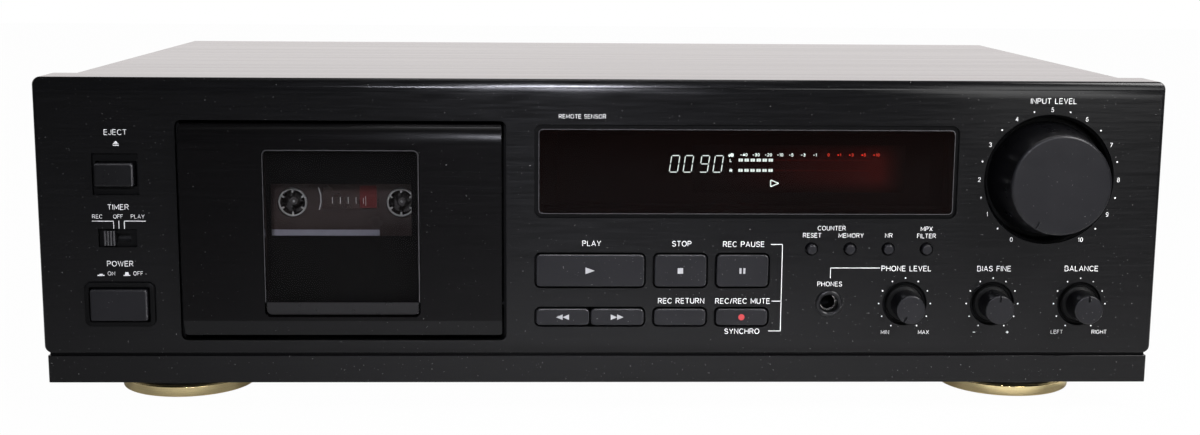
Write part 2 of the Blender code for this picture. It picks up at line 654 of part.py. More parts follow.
class Builder:
    """Makes objects in the deck's collection and cutters in another."""

    def __init__(self):
        self.parts = new_collection("cassette_deck")
        self.cutters = new_collection("cutters")
        self.looks = {
            "brushed": make_material("brushed_black_metal", (0.018, 0.018, 0.02), 0.38, 0.8),
            "satin": make_material("satin_black_steel", (0.03, 0.03, 0.032), 0.45, 0.3),
            "plastic": make_material("black_plastic", (0.02, 0.02, 0.022), 0.5),
            "button": make_material("button_plastic", (0.03, 0.03, 0.034), 0.42),
            "smoked": make_material("smoked_acrylic", (0.01, 0.008, 0.009), 0.12),
            "glass": make_material("display_glass", (0.1, 0.11, 0.12), 0.1),
            "gold": make_material("gilt_metal", (0.66, 0.5, 0.24), 0.25, 1.0),
            "steel": make_material("zinc_steel", (0.6, 0.6, 0.6), 0.35, 1.0),
            "shell": make_material("cassette_plastic", (0.05, 0.045, 0.045), 0.35),
            "white": make_material("white_plastic", (0.75, 0.75, 0.72), 0.4),
            "rubber": make_material("rubber", (0.02, 0.02, 0.02), 0.8),
            "board": make_material("board_resin", (0.16, 0.3, 0.12), 0.5),
            "brass": make_material("brass", (0.7, 0.52, 0.22), 0.3, 1.0),
            "copper": make_material("winding_tape", (0.5, 0.4, 0.1), 0.5),
        }

    def place(self, name, mesh, group, pivot):
        """Turn a bmesh into an object whose origin is the pivot."""
        bmesh.ops.translate(mesh, verts=mesh.verts, vec=-Vector(pivot))
        data = bpy.data.meshes.new(name)
        mesh.to_mesh(data)
        mesh.free()
        item = bpy.data.objects.new(name, data)
        item.location = pivot
        group.objects.link(item)
        return item

    def solid(self, name, mesh, look, pivot=(0.0, 0.0, 0.0)):
        """Make one visible piece."""
        item = self.place(name, mesh, self.parts, pivot)
        item.data.shade_smooth()
        item.data.set_sharp_from_angle(angle=math.radians(35))
        item.data.materials.append(self.looks[look])
        return item

    def cutter(self, name, mesh):
        """Make a hidden shape for cutting or joining."""
        item = self.place(name, mesh, self.cutters, (0.0, 0.0, 0.0))
        item.hide_render = True
        item.display_type = "WIRE"
        return item

    def combine(self, item, mesh, operation):
        """Cut a shape out of a piece, or join it on."""
        tool = self.cutter(item.name + "_" + operation.lower(), mesh)
        change = item.modifiers.new(operation.lower(), "BOOLEAN")
        change.operation = operation
        change.object = tool

    def cut(self, item, mesh):
        """Cut a shape out of a piece."""
        self.combine(item, mesh, "DIFFERENCE")

    def join(self, item, mesh):
        """Join a shape on to a piece."""
        self.combine(item, mesh, "UNION")

    def turned(self, name, profile, look, pivot, forward=True, closed=False, steps=ROUND_STEPS):
        """Revolve a profile of (radius, height) points; height runs forward or up from the pivot."""
        mesh = bmesh.new()
        verts = [mesh.verts.new((radius, 0.0, height)) for radius, height in profile]
        for first, second in zip(verts, verts[1:]):
            mesh.edges.new((first, second))
        if closed:
            mesh.edges.new((verts[-1], verts[0]))
        data = bpy.data.meshes.new(name)
        mesh.to_mesh(data)
        mesh.free()
        item = bpy.data.objects.new(name, data)
        item.location = pivot
        if forward:
            item.rotation_euler = (math.radians(90), 0.0, 0.0)
        self.parts.objects.link(item)
        item.data.materials.append(self.looks[look])
        screw = item.modifiers.new("turn", "SCREW")
        screw.steps = steps
        screw.render_steps = steps
        screw.use_merge_vertices = True
        screw.merge_threshold = MERGE_DISTANCE
        screw.use_smooth_shade = True
        return item


def attach(child, parent):
    """Parent a piece and leave it where it stands."""
    child.parent = parent
    child.matrix_parent_inverse = Matrix.Translation(parent.location).inverted()


def round_front_edge(mesh, front, width, steps=CORNER_STEPS):
    """Round the outer edge of the face that lies on the front plane."""
    rim = [edge for edge in mesh.edges if all(abs(vert.co.y - front) < GAP / 10 for vert in edge.verts)]
    bmesh.ops.bevel(mesh, geom=rim, offset=width, segments=steps, profile=0.5, affect="EDGES")


def build_front_panel(make):
    """Front panel: a thick face with shallow walls round it, its wells, pockets, holes and board posts."""
    shape = bmesh.new()
    add_block(shape, (LEFT, FRONT_Y, PANEL_BOTTOM), (RIGHT, TRAY_BACK, PANEL_TOP), PANEL_CORNER)
    round_front_edge(shape, FRONT_Y, PANEL_EDGE)
    panel = make.solid("front_panel", shape, "brushed")

    hollow = bmesh.new()
    add_block(hollow, (LEFT + PANEL_WALL, PLATE_BACK, PANEL_BOTTOM + PANEL_WALL),
              (RIGHT - PANEL_WALL, TRAY_BACK + OVERRUN, PANEL_TOP - PANEL_WALL))
    make.cut(panel, hollow)

    cup = bmesh.new()
    add_pin(cup, DIAL_X, DIAL_Z, PLATE_BACK - PANEL_THICKNESS / 2, DIAL_FLOOR + DIAL_WELL_FLOOR,
            DIAL_WELL_RADIUS + DIAL_WELL_WALL, DIAL_STEPS)
    for x, z in board_post_places():
        add_pin(cup, x, z, PLATE_BACK - PANEL_THICKNESS / 2, BOARD_FRONT - GAP, POST_RADIUS)
    make.join(panel, cup)

    front = FRONT_Y - OVERRUN
    pockets = bmesh.new()
    add_slab(pockets, DISPLAY_X, DISPLAY_Z, DISPLAY_WIDTH, DISPLAY_HEIGHT, front, FRONT_Y + DISPLAY_POCKET,
             DISPLAY_CORNER)
    add_slab(pockets, COLUMN_X, TIMER_Z, TIMER_WIDTH, TIMER_HEIGHT, front, FRONT_Y + TIMER_POCKET)
    add_slab(pockets, COLUMN_X, EJECT_Z, EJECT_POCKET_WIDTH, EJECT_POCKET_HEIGHT, front,
             FRONT_Y + EJECT_POCKET)
    add_pin(pockets, DIAL_X, DIAL_Z, front, DIAL_FLOOR, DIAL_WELL_RADIUS, DIAL_STEPS)
    for _, x, _ in SMALL_KNOBS:
        add_pin(pockets, x, KNOB_Z, front, KNOB_FLOOR, KNOB_POCKET_RADIUS, KNOB_STEPS)
    make.cut(panel, pockets)

    back = PLATE_BACK + OVERRUN
    holes = bmesh.new()
    add_block(holes, (WELL_LEFT, front, WELL_BOTTOM), (WELL_RIGHT, back, WELL_TOP), WELL_CORNER)
    inner = LENS_CLEARANCE + LENS_LEDGE
    add_slab(holes, DISPLAY_X, DISPLAY_Z, DISPLAY_WIDTH - 2 * inner, DISPLAY_HEIGHT - 2 * inner, front,
             back)
    for x, z, width, height in KEY_HOLES:
        add_slab(holes, x, z, width + 2 * BUTTON_CLEARANCE, height + 2 * BUTTON_CLEARANCE, front, back,
                 BUTTON_CORNER + BUTTON_CLEARANCE)
    for _, x in ROUND_KEYS:
        add_pin(holes, x, ROUND_Z, front, back, ROUND_HOLE_RADIUS)
    for _, x, _ in SMALL_KNOBS:
        add_pin(holes, x, KNOB_Z, front, back, SHAFT_RADIUS + 2 * SHAFT_FIT)
    add_pin(holes, DIAL_X, DIAL_Z, front, DIAL_FLOOR + DIAL_WELL_FLOOR + OVERRUN,
            DIAL_SHAFT_RADIUS + 2 * SHAFT_FIT)
    add_pin(holes, PHONES_X, KNOB_Z, front, back, JACK_BARREL_RADIUS + GAP)
    sleeve = 2 * (POWER_SLEEVE_INSET - GAP)
    add_slab(holes, COLUMN_X, POWER_Z, POWER_FRAME_WIDTH - sleeve, POWER_FRAME_HEIGHT - sleeve, front, back,
             FRAME_CORNER)
    slot = TIMER_STEM + TIMER_TRAVEL + 2 * GAP
    add_slab(holes, COLUMN_X, TIMER_Z, slot, TIMER_STEM + 2 * GAP, front, back)
    add_slab(holes, COLUMN_X, EJECT_Z, EJECT_WIDTH + 2 * EJECT_CLEARANCE,
             EJECT_HEIGHT + 2 * EJECT_CLEARANCE, front, back)
    make.cut(panel, holes)


def board_post_places():
    """Where the four posts carry the front board."""
    left = MECH_RIGHT + BOARD_MARGIN + POST_INSET
    right = RIGHT - PANEL_WALL - BOARD_MARGIN - POST_INSET
    low = PANEL_BOTTOM + PANEL_WALL + BOARD_MARGIN + POST_INSET - POST_RADIUS
    high = PANEL_TOP - PANEL_WALL - BOARD_MARGIN - POST_INSET + POST_RADIUS / 2
    return ((left, low), (right, low), (left, high), (right, high))


def build_case(make):
    """Skirt, base pan, top cover and rear panel, in folded sheet."""
    skirt_front = FRONT_Y + SKIRT_SETBACK
    shape = bmesh.new()
    add_block(shape, (LEFT + SKIRT_INSET, skirt_front, FOOT_HEIGHT),
              (RIGHT - SKIRT_INSET, TRAY_BACK, FOOT_HEIGHT + SKIRT_HEIGHT), SKIRT_CORNER, "Z")
    skirt = make.solid("front_skirt", shape, "brushed")
    hollow = bmesh.new()
    add_block(hollow, (LEFT + SKIRT_INSET + PANEL_WALL, skirt_front + PANEL_WALL, FOOT_HEIGHT + PANEL_WALL),
              (RIGHT - SKIRT_INSET - PANEL_WALL, TRAY_BACK + OVERRUN,
               FOOT_HEIGHT + SKIRT_HEIGHT - PANEL_WALL))
    make.cut(skirt, hollow)

    shape = bmesh.new()
    add_block(shape, (PAN_LEFT, CASE_FRONT, FOOT_HEIGHT),
              (-PAN_LEFT, REAR_INNER - GAP, PAN_TOP + PAN_FLANGE))
    pan = make.solid("base_pan", shape, "steel")
    hollow = bmesh.new()
    add_block(hollow, (PAN_LEFT + SHEET, CASE_FRONT + SHEET, PAN_TOP),
              (-PAN_LEFT - SHEET, REAR_INNER + OVERRUN, PAN_TOP + PAN_FLANGE + OVERRUN))
    make.cut(pan, hollow)
    trims = bmesh.new()
    trim_front = REAR_INNER - REAR_FLANGE - 2 * GAP
    for side in (-1, 1):
        edge = side * (PAN_LEFT + SHEET / 2)
        add_block(trims, (edge - SHEET, trim_front, PAN_TOP), (edge + SHEET, REAR_INNER + OVERRUN,
                                                               PAN_TOP + PAN_FLANGE + OVERRUN))
    make.cut(pan, trims)
    slots = bmesh.new()
    for row in range(VENT_ROWS):
        for place in range(VENT_COLUMNS):
            x = (place - (VENT_COLUMNS - 1) / 2) * VENT_PITCH
            y = VENT_Y + row * (VENT_LENGTH + VENT_PITCH)
            add_block(slots, (x - VENT_WIDTH / 2, y, FOOT_HEIGHT - OVERRUN),
                      (x + VENT_WIDTH / 2, y + VENT_LENGTH, PAN_TOP + OVERRUN / 4))
    make.cut(pan, slots)

    shape = bmesh.new()
    add_block(shape, (CASE_LEFT, CASE_FRONT, FOOT_HEIGHT + SHEET), (-CASE_LEFT, REAR_Y, CASE_TOP))
    keep = [edge for edge in edges_along(list(shape.verts), "Y")
            if edge.verts[0].co.z > FOOT_HEIGHT + PAN_FLANGE]
    bmesh.ops.bevel(shape, geom=keep, offset=COVER_BEND, segments=CORNER_STEPS, profile=0.5, affect="EDGES")
    cover = make.solid("top_cover", shape, "satin")
    hollow = bmesh.new()
    add_block(hollow, (CASE_LEFT + SHEET, CASE_FRONT - OVERRUN, FOOT_HEIGHT - OVERRUN),
              (-CASE_LEFT - SHEET, REAR_Y + OVERRUN, CASE_TOP - SHEET))
    make.cut(cover, hollow)

    shape = bmesh.new()
    add_block(shape, (PAN_LEFT, REAR_INNER - REAR_FLANGE, FOOT_HEIGHT),
              (-PAN_LEFT, REAR_FACE, CASE_TOP - SHEET - GAP))
    rear = make.solid("rear_panel", shape, "satin")
    hollow = bmesh.new()
    add_block(hollow, (PAN_LEFT + SHEET, REAR_INNER - REAR_FLANGE - OVERRUN, FOOT_HEIGHT - OVERRUN),
              (-PAN_LEFT - SHEET, REAR_INNER, CASE_TOP - 2 * SHEET - GAP))
    make.cut(rear, hollow)
    notch = bmesh.new()
    for side in (-1, 1):
        edge = side * (PAN_LEFT + SHEET / 2)
        add_block(notch, (edge - SHEET, REAR_INNER - REAR_FLANGE - OVERRUN, FOOT_HEIGHT - OVERRUN),
                  (edge + SHEET, REAR_INNER, PAN_TOP + GAP))
    make.cut(rear, notch)
    holes = bmesh.new()
    for x, z in LINE_PLACES:
        add_pin(holes, x, z, REAR_INNER - OVERRUN, REAR_FACE + OVERRUN, BARREL_RADIUS + GAP)
    body = 2 * (INLET_BODY_INSET - GAP)
    add_slab(holes, INLET_X, INLET_Z, INLET_WIDTH - body, INLET_HEIGHT - body, REAR_INNER - OVERRUN,
             REAR_FACE + OVERRUN)
    make.cut(rear, holes)


def build_feet(make):
    """Four turned feet, each with a gilt ring round it."""
    profile = [(0.0, FOOT_HEIGHT - GAP), (FOOT_HUB_RADIUS, FOOT_HEIGHT - GAP),
               (FOOT_HUB_RADIUS, FOOT_HUB_BOTTOM), (FOOT_RADIUS, RING_TOP), (FOOT_RADIUS, FOOT_PAD_HEIGHT),
               (FOOT_PAD_RADIUS, 0.0), (0.0, 0.0)]
    inner = FOOT_RADIUS + GAP
    ring = [(inner, RING_TOP), (RING_RADIUS - RING_EDGE, RING_TOP), (RING_RADIUS, RING_TOP - RING_EDGE),
            (RING_RADIUS, RING_BOTTOM + RING_EDGE), (RING_RADIUS - RING_EDGE, RING_BOTTOM),
            (inner, RING_BOTTOM)]
    front = FRONT_Y + FOOT_FRONT_INSET
    rear = REAR_Y - FOOT_REAR_INSET
    side = RIGHT - FOOT_SIDE_INSET
    places = {"front_left": (-side, front), "front_right": (side, front),
              "rear_left": (-side, rear), "rear_right": (side, rear)}
    for name, (x, y) in places.items():
        make.turned("foot_" + name, profile, "plastic", (x, y, 0.0), forward=False, steps=FOOT_STEPS)
        make.turned("foot_ring_" + name, ring, "gold", (x, y, 0.0), forward=False, closed=True,
                    steps=FOOT_STEPS)


def build_buttons(make):
    """Light-touch buttons: a cap in its hole, a flange behind the panel and a plunger to the key switch."""
    for name, x, z, width, height in KEYS:
        pivot = (x, FRONT_Y - BUTTON_PROUD, z)
        cap = bmesh.new()
        add_slab(cap, x, z, width, height, FRONT_Y - BUTTON_PROUD, BUTTON_FLANGE_BACK, BUTTON_CORNER)
        button = make.solid(name, cap, "button", pivot)
        flange = bmesh.new()
        add_slab(flange, x, z, width - BUTTON_CORNER, height + 2 * BUTTON_FLANGE + 2 * BUTTON_CLEARANCE,
                 BUTTON_FLANGE_FRONT, BUTTON_FLANGE_BACK - GAP / 2)
        make.join(button, flange)
        plunger = bmesh.new()
        add_pin(plunger, x, z, BUTTON_FLANGE_FRONT + GAP, PLUNGER_END, PLUNGER_RADIUS, PIN_STEPS)
        make.join(button, plunger)
    for name, x in ROUND_KEYS:
        height = ROUND_BUTTON_PROUD
        front = FRONT_Y - height
        profile = [(0.0, 0.0), (ROUND_BUTTON_RADIUS - KNOB_EDGE, 0.0), (ROUND_BUTTON_RADIUS, -KNOB_EDGE),
                   (ROUND_BUTTON_RADIUS, front - BUTTON_FLANGE_FRONT),
                   (ROUND_FLANGE_RADIUS, front - BUTTON_FLANGE_FRONT),
                   (ROUND_FLANGE_RADIUS, front - BUTTON_FLANGE_BACK),
                   (PLUNGER_RADIUS, front - BUTTON_FLANGE_BACK),
                   (PLUNGER_RADIUS, front - PLUNGER_END), (0.0, front - PLUNGER_END)]
        make.turned(name, profile, "button", (x, front, ROUND_Z))


def build_left_controls(make):
    """Eject button, timer slide switch, and the power button with its frame and switch."""
    front = FRONT_Y - EJECT_PROUD
    shape = bmesh.new()
    add_slab(shape, COLUMN_X, EJECT_Z, EJECT_WIDTH, EJECT_HEIGHT, front, BUTTON_FLANGE_BACK)
    round_front_edge(shape, front, KNOB_EDGE, EDGE_STEPS)
    eject = make.solid("eject_button", shape, "button", (COLUMN_X, front, EJECT_Z))
    flange = bmesh.new()
    add_slab(flange, COLUMN_X, EJECT_Z, EJECT_WIDTH - BUTTON_CORNER,
             EJECT_HEIGHT + 2 * BUTTON_FLANGE + 2 * EJECT_CLEARANCE, BUTTON_FLANGE_FRONT,
             BUTTON_FLANGE_BACK - GAP / 2)
    make.join(eject, flange)
    rod = bmesh.new()
    add_slab(rod, COLUMN_X, EJECT_Z, TIMER_STEM, TIMER_STEM, BUTTON_FLANGE_FRONT + GAP,
             FRONT_Y + EJECT_ROD_DEPTH)
    make.join(eject, rod)

    knob_x = COLUMN_X - TIMER_TRAVEL / 2
    knob_front = FRONT_Y - TIMER_KNOB_PROUD
    shape = bmesh.new()
    add_slab(shape, knob_x, TIMER_Z, TIMER_KNOB_WIDTH, TIMER_HEIGHT - 4 * GAP, knob_front,
             FRONT_Y + TIMER_POCKET - GAP)
    knob = make.solid("timer_knob", shape, "button", (knob_x, knob_front, TIMER_Z))
    grooves = bmesh.new()
    for place in (-1, 0, 1):
        x = knob_x + place * TIMER_KNOB_WIDTH / 4
        add_slab(grooves, x, TIMER_Z, TIMER_RIDGE, TIMER_HEIGHT, knob_front - OVERRUN,
                 knob_front + TIMER_RIDGE)
    make.cut(knob, grooves)
    stem = bmesh.new()
    add_slab(stem, knob_x, TIMER_Z, TIMER_STEM, TIMER_STEM, FRONT_Y + TIMER_POCKET / 2,
             FRONT_Y + TIMER_STEM_DEPTH)
    make.join(knob, stem)
    slot = TIMER_STEM + TIMER_TRAVEL + 2 * GAP
    shape = bmesh.new()
    add_slab(shape, COLUMN_X, TIMER_Z, slot + 2 * TIMER_BODY_MARGIN, TIMER_HEIGHT + TIMER_BODY_MARGIN,
             PLATE_BACK + GAP, FRONT_Y + TIMER_BODY_DEPTH)
    switch = make.solid("timer_switch", shape, "steel")
    pocket = bmesh.new()
    add_slab(pocket, COLUMN_X, TIMER_Z, slot, TIMER_STEM + 2 * GAP, PLATE_BACK - OVERRUN,
             FRONT_Y + TIMER_STEM_DEPTH + 2 * GAP)
    make.cut(switch, pocket)

    build_power_button(make)


def build_power_button(make):
    """Push-push power button, shown latched in, and the switch that its rod works."""
    sleeve_width = POWER_FRAME_WIDTH - 2 * POWER_SLEEVE_INSET
    sleeve_height = POWER_FRAME_HEIGHT - 2 * POWER_SLEEVE_INSET
    shape = bmesh.new()
    add_slab(shape, COLUMN_X, POWER_Z, POWER_FRAME_WIDTH, POWER_FRAME_HEIGHT,
             FRONT_Y - GAP - POWER_FRAME_PROUD, FRONT_Y - GAP, FRAME_CORNER)
    frame = make.solid("power_button_frame", shape, "plastic")
    sleeve = bmesh.new()
    add_slab(sleeve, COLUMN_X, POWER_Z, sleeve_width, sleeve_height, FRONT_Y - 2 * GAP,
             FRONT_Y + POWER_SLEEVE_DEPTH, FRAME_CORNER)
    make.join(frame, sleeve)
    opening = bmesh.new()
    hole_width = sleeve_width - 2 * POWER_SLEEVE_WALL
    hole_height = sleeve_height - 2 * POWER_SLEEVE_WALL
    add_slab(opening, COLUMN_X, POWER_Z, hole_width, hole_height, FRONT_Y - POWER_FRAME_PROUD - OVERRUN,
             FRONT_Y + POWER_SLEEVE_DEPTH + OVERRUN)
    make.cut(frame, opening)

    front = FRONT_Y - POWER_PROUD
    flange_front = FRONT_Y + POWER_SLEEVE_DEPTH + POWER_TRAVEL + GAP
    shape = bmesh.new()
    add_slab(shape, COLUMN_X, POWER_Z, hole_width - 2 * POWER_CLEARANCE, hole_height - 2 * POWER_CLEARANCE,
             front, flange_front + FLANGE_THICKNESS)
    round_front_edge(shape, front, KNOB_EDGE, EDGE_STEPS)
    button = make.solid("power_button", shape, "button", (COLUMN_X, front, POWER_Z))
    flange = bmesh.new()
    add_slab(flange, COLUMN_X, POWER_Z, hole_width + POWER_FLANGE, hole_height - 4 * POWER_CLEARANCE,
             flange_front, flange_front + FLANGE_THICKNESS - GAP / 2)
    make.join(button, flange)
    rod = bmesh.new()
    add_slab(rod, COLUMN_X, POWER_Z, POWER_ROD, POWER_ROD, flange_front + GAP, FRONT_Y + POWER_ROD_DEPTH)
    make.join(button, rod)

    switch_front = FRONT_Y + POWER_SWITCH_DEPTH
    switch_back = switch_front + POWER_SWITCH_LENGTH
    shape = bmesh.new()
    add_slab(shape, COLUMN_X, POWER_Z, POWER_SWITCH_WIDTH, POWER_SWITCH_HEIGHT, switch_front, switch_back)
    switch = make.solid("power_switch", shape, "plastic")
    bracket = bmesh.new()
    half = POWER_SWITCH_WIDTH / 2
    add_block(bracket, (COLUMN_X - half + GAP, switch_back - POWER_BRACKET, PAN_TOP + GAP),
              (COLUMN_X + half - GAP, switch_back - GAP, POWER_Z))
    make.join(switch, bracket)
    pocket = bmesh.new()
    add_slab(pocket, COLUMN_X, POWER_Z, POWER_ROD + 2 * POWER_CLEARANCE, POWER_ROD + 2 * POWER_CLEARANCE,
             switch_front - OVERRUN, FRONT_Y + POWER_ROD_DEPTH + GAP)
    make.cut(switch, pocket)


def build_door(make):
    """Tape door on its hinge, with its window and the holder that carries the cassette."""
    curve = [(DOOR_FRONT + DOOR_CURVE_DEPTH * (1 - math.cos(angle)),
              DOOR_TOP - DOOR_CURVE_HEIGHT * (1 - math.sin(angle)))
             for angle in [math.pi / 2 * index / DOOR_CURVE_STEPS
                           for index in range(DOOR_CURVE_STEPS + 1)]]
    side = [(DOOR_BACK, DOOR_BOTTOM), (DOOR_FRONT + DOOR_CHAMFER_DEPTH, DOOR_BOTTOM),
            (DOOR_FRONT, DOOR_BOTTOM + DOOR_CHAMFER_HEIGHT), *curve, (DOOR_BACK, DOOR_TOP)]
    shape = bmesh.new()
    add_outline(shape, [side], DOOR_LEFT, DOOR_RIGHT, "X")
    door = make.solid("cassette_door", shape, "brushed", HINGE)
    lugs = bmesh.new()
    for inner in (DOOR_LEFT, DOOR_RIGHT - LUG_WIDTH):
        add_block(lugs, (inner + GAP, DOOR_BACK - OVERRUN, HINGE.z - LUG_RADIUS),
                  (inner + LUG_WIDTH - GAP, HINGE.y + LUG_RADIUS, HINGE.z + LUG_RADIUS),
                  LUG_RADIUS / 2, "X")
    make.join(door, lugs)
    bores = bmesh.new()
    for low in (DOOR_LEFT, DOOR_RIGHT - LUG_WIDTH):
        add_rod(bores, (low - OVERRUN, HINGE.y, HINGE.z), (low + LUG_WIDTH + OVERRUN, HINGE.y, HINGE.z),
                HINGE_PIN_RADIUS + GAP)
    make.cut(door, bores)
    window_bottom = DOOR_BOTTOM + WINDOW_RISE
    window_top = DOOR_TOP - WINDOW_TOP_MARGIN
    half = WINDOW_WIDTH / 2
    opening = bmesh.new()
    add_block(opening, (DOOR_X - half, DOOR_FRONT - OVERRUN, window_bottom),
              (DOOR_X + half, DOOR_BACK + OVERRUN, window_top), WINDOW_CORNER)
    make.cut(door, opening)

    pane_front = DOOR_FRONT - WINDOW_PROUD
    shape = bmesh.new()
    add_block(shape, (DOOR_X - half + GAP, pane_front, window_bottom + GAP),
              (DOOR_X + half - GAP, DOOR_BACK - GAP, window_top - GAP), WINDOW_CORNER - GAP)
    window = make.solid("door_window", shape, "smoked", HINGE)
    wedge = bmesh.new()
    low = window_bottom + GAP - OVERRUN
    slope = WINDOW_BEVEL_DEPTH * (1 + OVERRUN / WINDOW_BEVEL_HEIGHT)
    add_outline(wedge, [[(pane_front - OVERRUN, low), (pane_front + slope, low),
                         (pane_front, window_bottom + WINDOW_BEVEL_HEIGHT),
                         (pane_front - OVERRUN, window_bottom + WINDOW_BEVEL_HEIGHT)]],
                DOOR_X - half - OVERRUN, DOOR_X + half + OVERRUN, "X")
    make.cut(window, wedge)
    attach(window, door)
    attach(build_holder(make), door)
    attach(build_cassette(make), door)


def build_holder(make):
    """Cassette holder: two side channels behind the door, joined under the cassette."""
    front = DOOR_BACK + GAP
    back = NOSE_BACK + 2 * GAP + HOLDER_WALL
    lip_front = CASSETTE_FRONT - GAP - HOLDER_WALL
    top = CASSETTE_TOP - CASSETTE_RIM
    shape = bmesh.new()
    add_block(shape, (HOLDER_LEFT, front, HOLDER_BOTTOM), (HOLDER_RIGHT, back, top))
    holder = make.solid("cassette_holder", shape, "plastic", HINGE)
    inner_left = HOLDER_LEFT + HOLDER_WALL
    inner_right = HOLDER_RIGHT - HOLDER_WALL
    above = top + OVERRUN
    space = bmesh.new()
    add_block(space, (inner_left, CASSETTE_FRONT - GAP, HOLDER_BOTTOM + HOLDER_WALL),
              (inner_right, back - HOLDER_WALL, above))
    make.cut(holder, space)
    windows = bmesh.new()
    add_block(windows, (inner_left + HOLDER_LIP, lip_front - OVERRUN, HOLDER_BOTTOM + HOLDER_WALL),
              (inner_right - HOLDER_LIP, back + OVERRUN, above + OVERRUN))
    make.cut(holder, windows)
    room = bmesh.new()
    add_block(room, (inner_left, front - OVERRUN, HOLDER_BOTTOM + HOLDER_WALL),
              (inner_right, lip_front, above + OVERRUN))
    make.cut(holder, room)
    under = bmesh.new()
    add_block(under, (inner_left + HOLDER_LIP, FRONT_Y + HOLDER_BAR_DEPTH, HOLDER_BOTTOM - OVERRUN),
              (inner_right - HOLDER_LIP, back + OVERRUN, HOLDER_BOTTOM + HOLDER_WALL + 2 * HOLDER_LIP))
    make.cut(holder, under)
    return holder


def build_cassette(make):
    """Cassette shell, hollow, with hub, capstan and head openings; tape edge down."""
    half = CASSETTE_WIDTH / 2
    shape = bmesh.new()
    add_block(shape, (TAPE_X - half, CASSETTE_FRONT, CASSETTE_BOTTOM),
              (TAPE_X + half, CASSETTE_BACK, CASSETTE_TOP), CASSETTE_CORNER)
    shell = make.solid("cassette_shell", shape, "shell", HINGE)
    nose = bmesh.new()
    foot = CASSETTE_BOTTOM + GAP
    top = CASSETTE_BOTTOM + NOSE_HEIGHT
    add_outline(nose, [[(TAPE_X - NOSE_WIDTH / 2, foot), (TAPE_X + NOSE_WIDTH / 2, foot),
                        (TAPE_X + NOSE_TOP_WIDTH / 2, top), (TAPE_X - NOSE_TOP_WIDTH / 2, top)]],
                NOSE_FRONT, NOSE_BACK, "Y")
    make.join(shell, nose)
    cavity = bmesh.new()
    add_block(cavity, (TAPE_X - half + CASSETTE_RIM, CASSETTE_FRONT + CASSETTE_WALL,
                       CASSETTE_BOTTOM + CASSETTE_RIM),
              (TAPE_X + half - CASSETTE_RIM, CASSETTE_BACK - CASSETTE_WALL, CASSETTE_TOP - CASSETTE_RIM))
    make.cut(shell, cavity)
    openings = bmesh.new()
    for x in (LEFT_HUB_X, RIGHT_HUB_X):
        add_pin(openings, x, HUB_Z, CASSETTE_FRONT - OVERRUN, CASSETTE_BACK + OVERRUN, SHELL_HOLE_RADIUS)
    for side in (-1, 1):
        add_pin(openings, TAPE_X + side * CAPSTAN_OFFSET, CAPSTAN_Z, NOSE_FRONT - OVERRUN,
                NOSE_BACK + OVERRUN, CAPSTAN_HOLE_RADIUS)
    make.cut(shell, openings)
    slots = bmesh.new()
    slot_top = CASSETTE_BOTTOM + CASSETTE_RIM + OVERRUN
    for place, width in ((-1, ROLLER_SLOT_WIDTH), (0, HEAD_SLOT_WIDTH), (1, ROLLER_SLOT_WIDTH)):
        x = TAPE_X + place * CAPSTAN_OFFSET
        add_block(slots, (x - width / 2, CASSETTE_MIDDLE - SLOT_THICKNESS / 2, CASSETTE_BOTTOM - OVERRUN),
                  (x + width / 2, CASSETTE_MIDDLE + SLOT_THICKNESS / 2, slot_top))
    make.cut(shell, slots)
    return shell


def build_reels(make):
    """Tape reels in the shell: a toothed hub with its tape pack."""
    thickness = CASSETTE_THICKNESS - 2 * CASSETTE_WALL - 2 * REEL_PLAY
    front = CASSETTE_MIDDLE - thickness / 2
    back = CASSETTE_MIDDLE + thickness / 2
    pitch = 360 / HUB_TEETH
    for name, x, radius in (("left_tape_reel", LEFT_HUB_X, LEFT_PACK_RADIUS),
                            ("right_tape_reel", RIGHT_HUB_X, RIGHT_PACK_RADIUS)):
        bore = []
        for tooth in range(HUB_TEETH):
            start = tooth * pitch
            width = pitch * HUB_TOOTH_SHARE
            bore += circle_points(x, HUB_Z, HUB_TOOTH_RADIUS, 2, start, width)
            bore += circle_points(x, HUB_Z, HUB_BORE_RADIUS, 4, start + width, pitch - width)
        shape = bmesh.new()
        rim = circle_points(x, HUB_Z, radius, FOOT_STEPS)
        add_outline(shape, [rim, bore], front, back, "Y")
        make.solid(name, shape, "white", (x, front, HUB_Z))


def build_display(make):
    """Smoked display window and the fluorescent tube behind it."""
    width = DISPLAY_WIDTH - 2 * LENS_CLEARANCE
    height = DISPLAY_HEIGHT - 2 * LENS_CLEARANCE
    back = FRONT_Y + DISPLAY_POCKET - GAP
    shape = bmesh.new()
    add_slab(shape, DISPLAY_X, DISPLAY_Z, width, height, back - LENS_THICKNESS, back,
             DISPLAY_CORNER - LENS_CLEARANCE / 2)
    make.solid("display_window", shape, "smoked")
    shape = bmesh.new()
    add_slab(shape, DISPLAY_X, DISPLAY_Z, width - 2 * TUBE_INSET, height - 2 * LENS_LEDGE,
             FRONT_Y + TUBE_FRONT_DEPTH, BOARD_FRONT - GAP)
    tube = make.solid("display_tube", shape, "glass")
    tip = bmesh.new()
    end = DISPLAY_X + width / 2 - TUBE_INSET
    middle = (FRONT_Y + TUBE_FRONT_DEPTH + BOARD_FRONT - GAP) / 2
    add_rod(tip, (end - TUBE_INSET, middle, DISPLAY_Z), (end + TUBE_INSET / 2, middle, DISPLAY_Z),
            PLUNGER_RADIUS, PLUNGER_RADIUS / 2, PIN_STEPS)
    make.join(tube, tip)


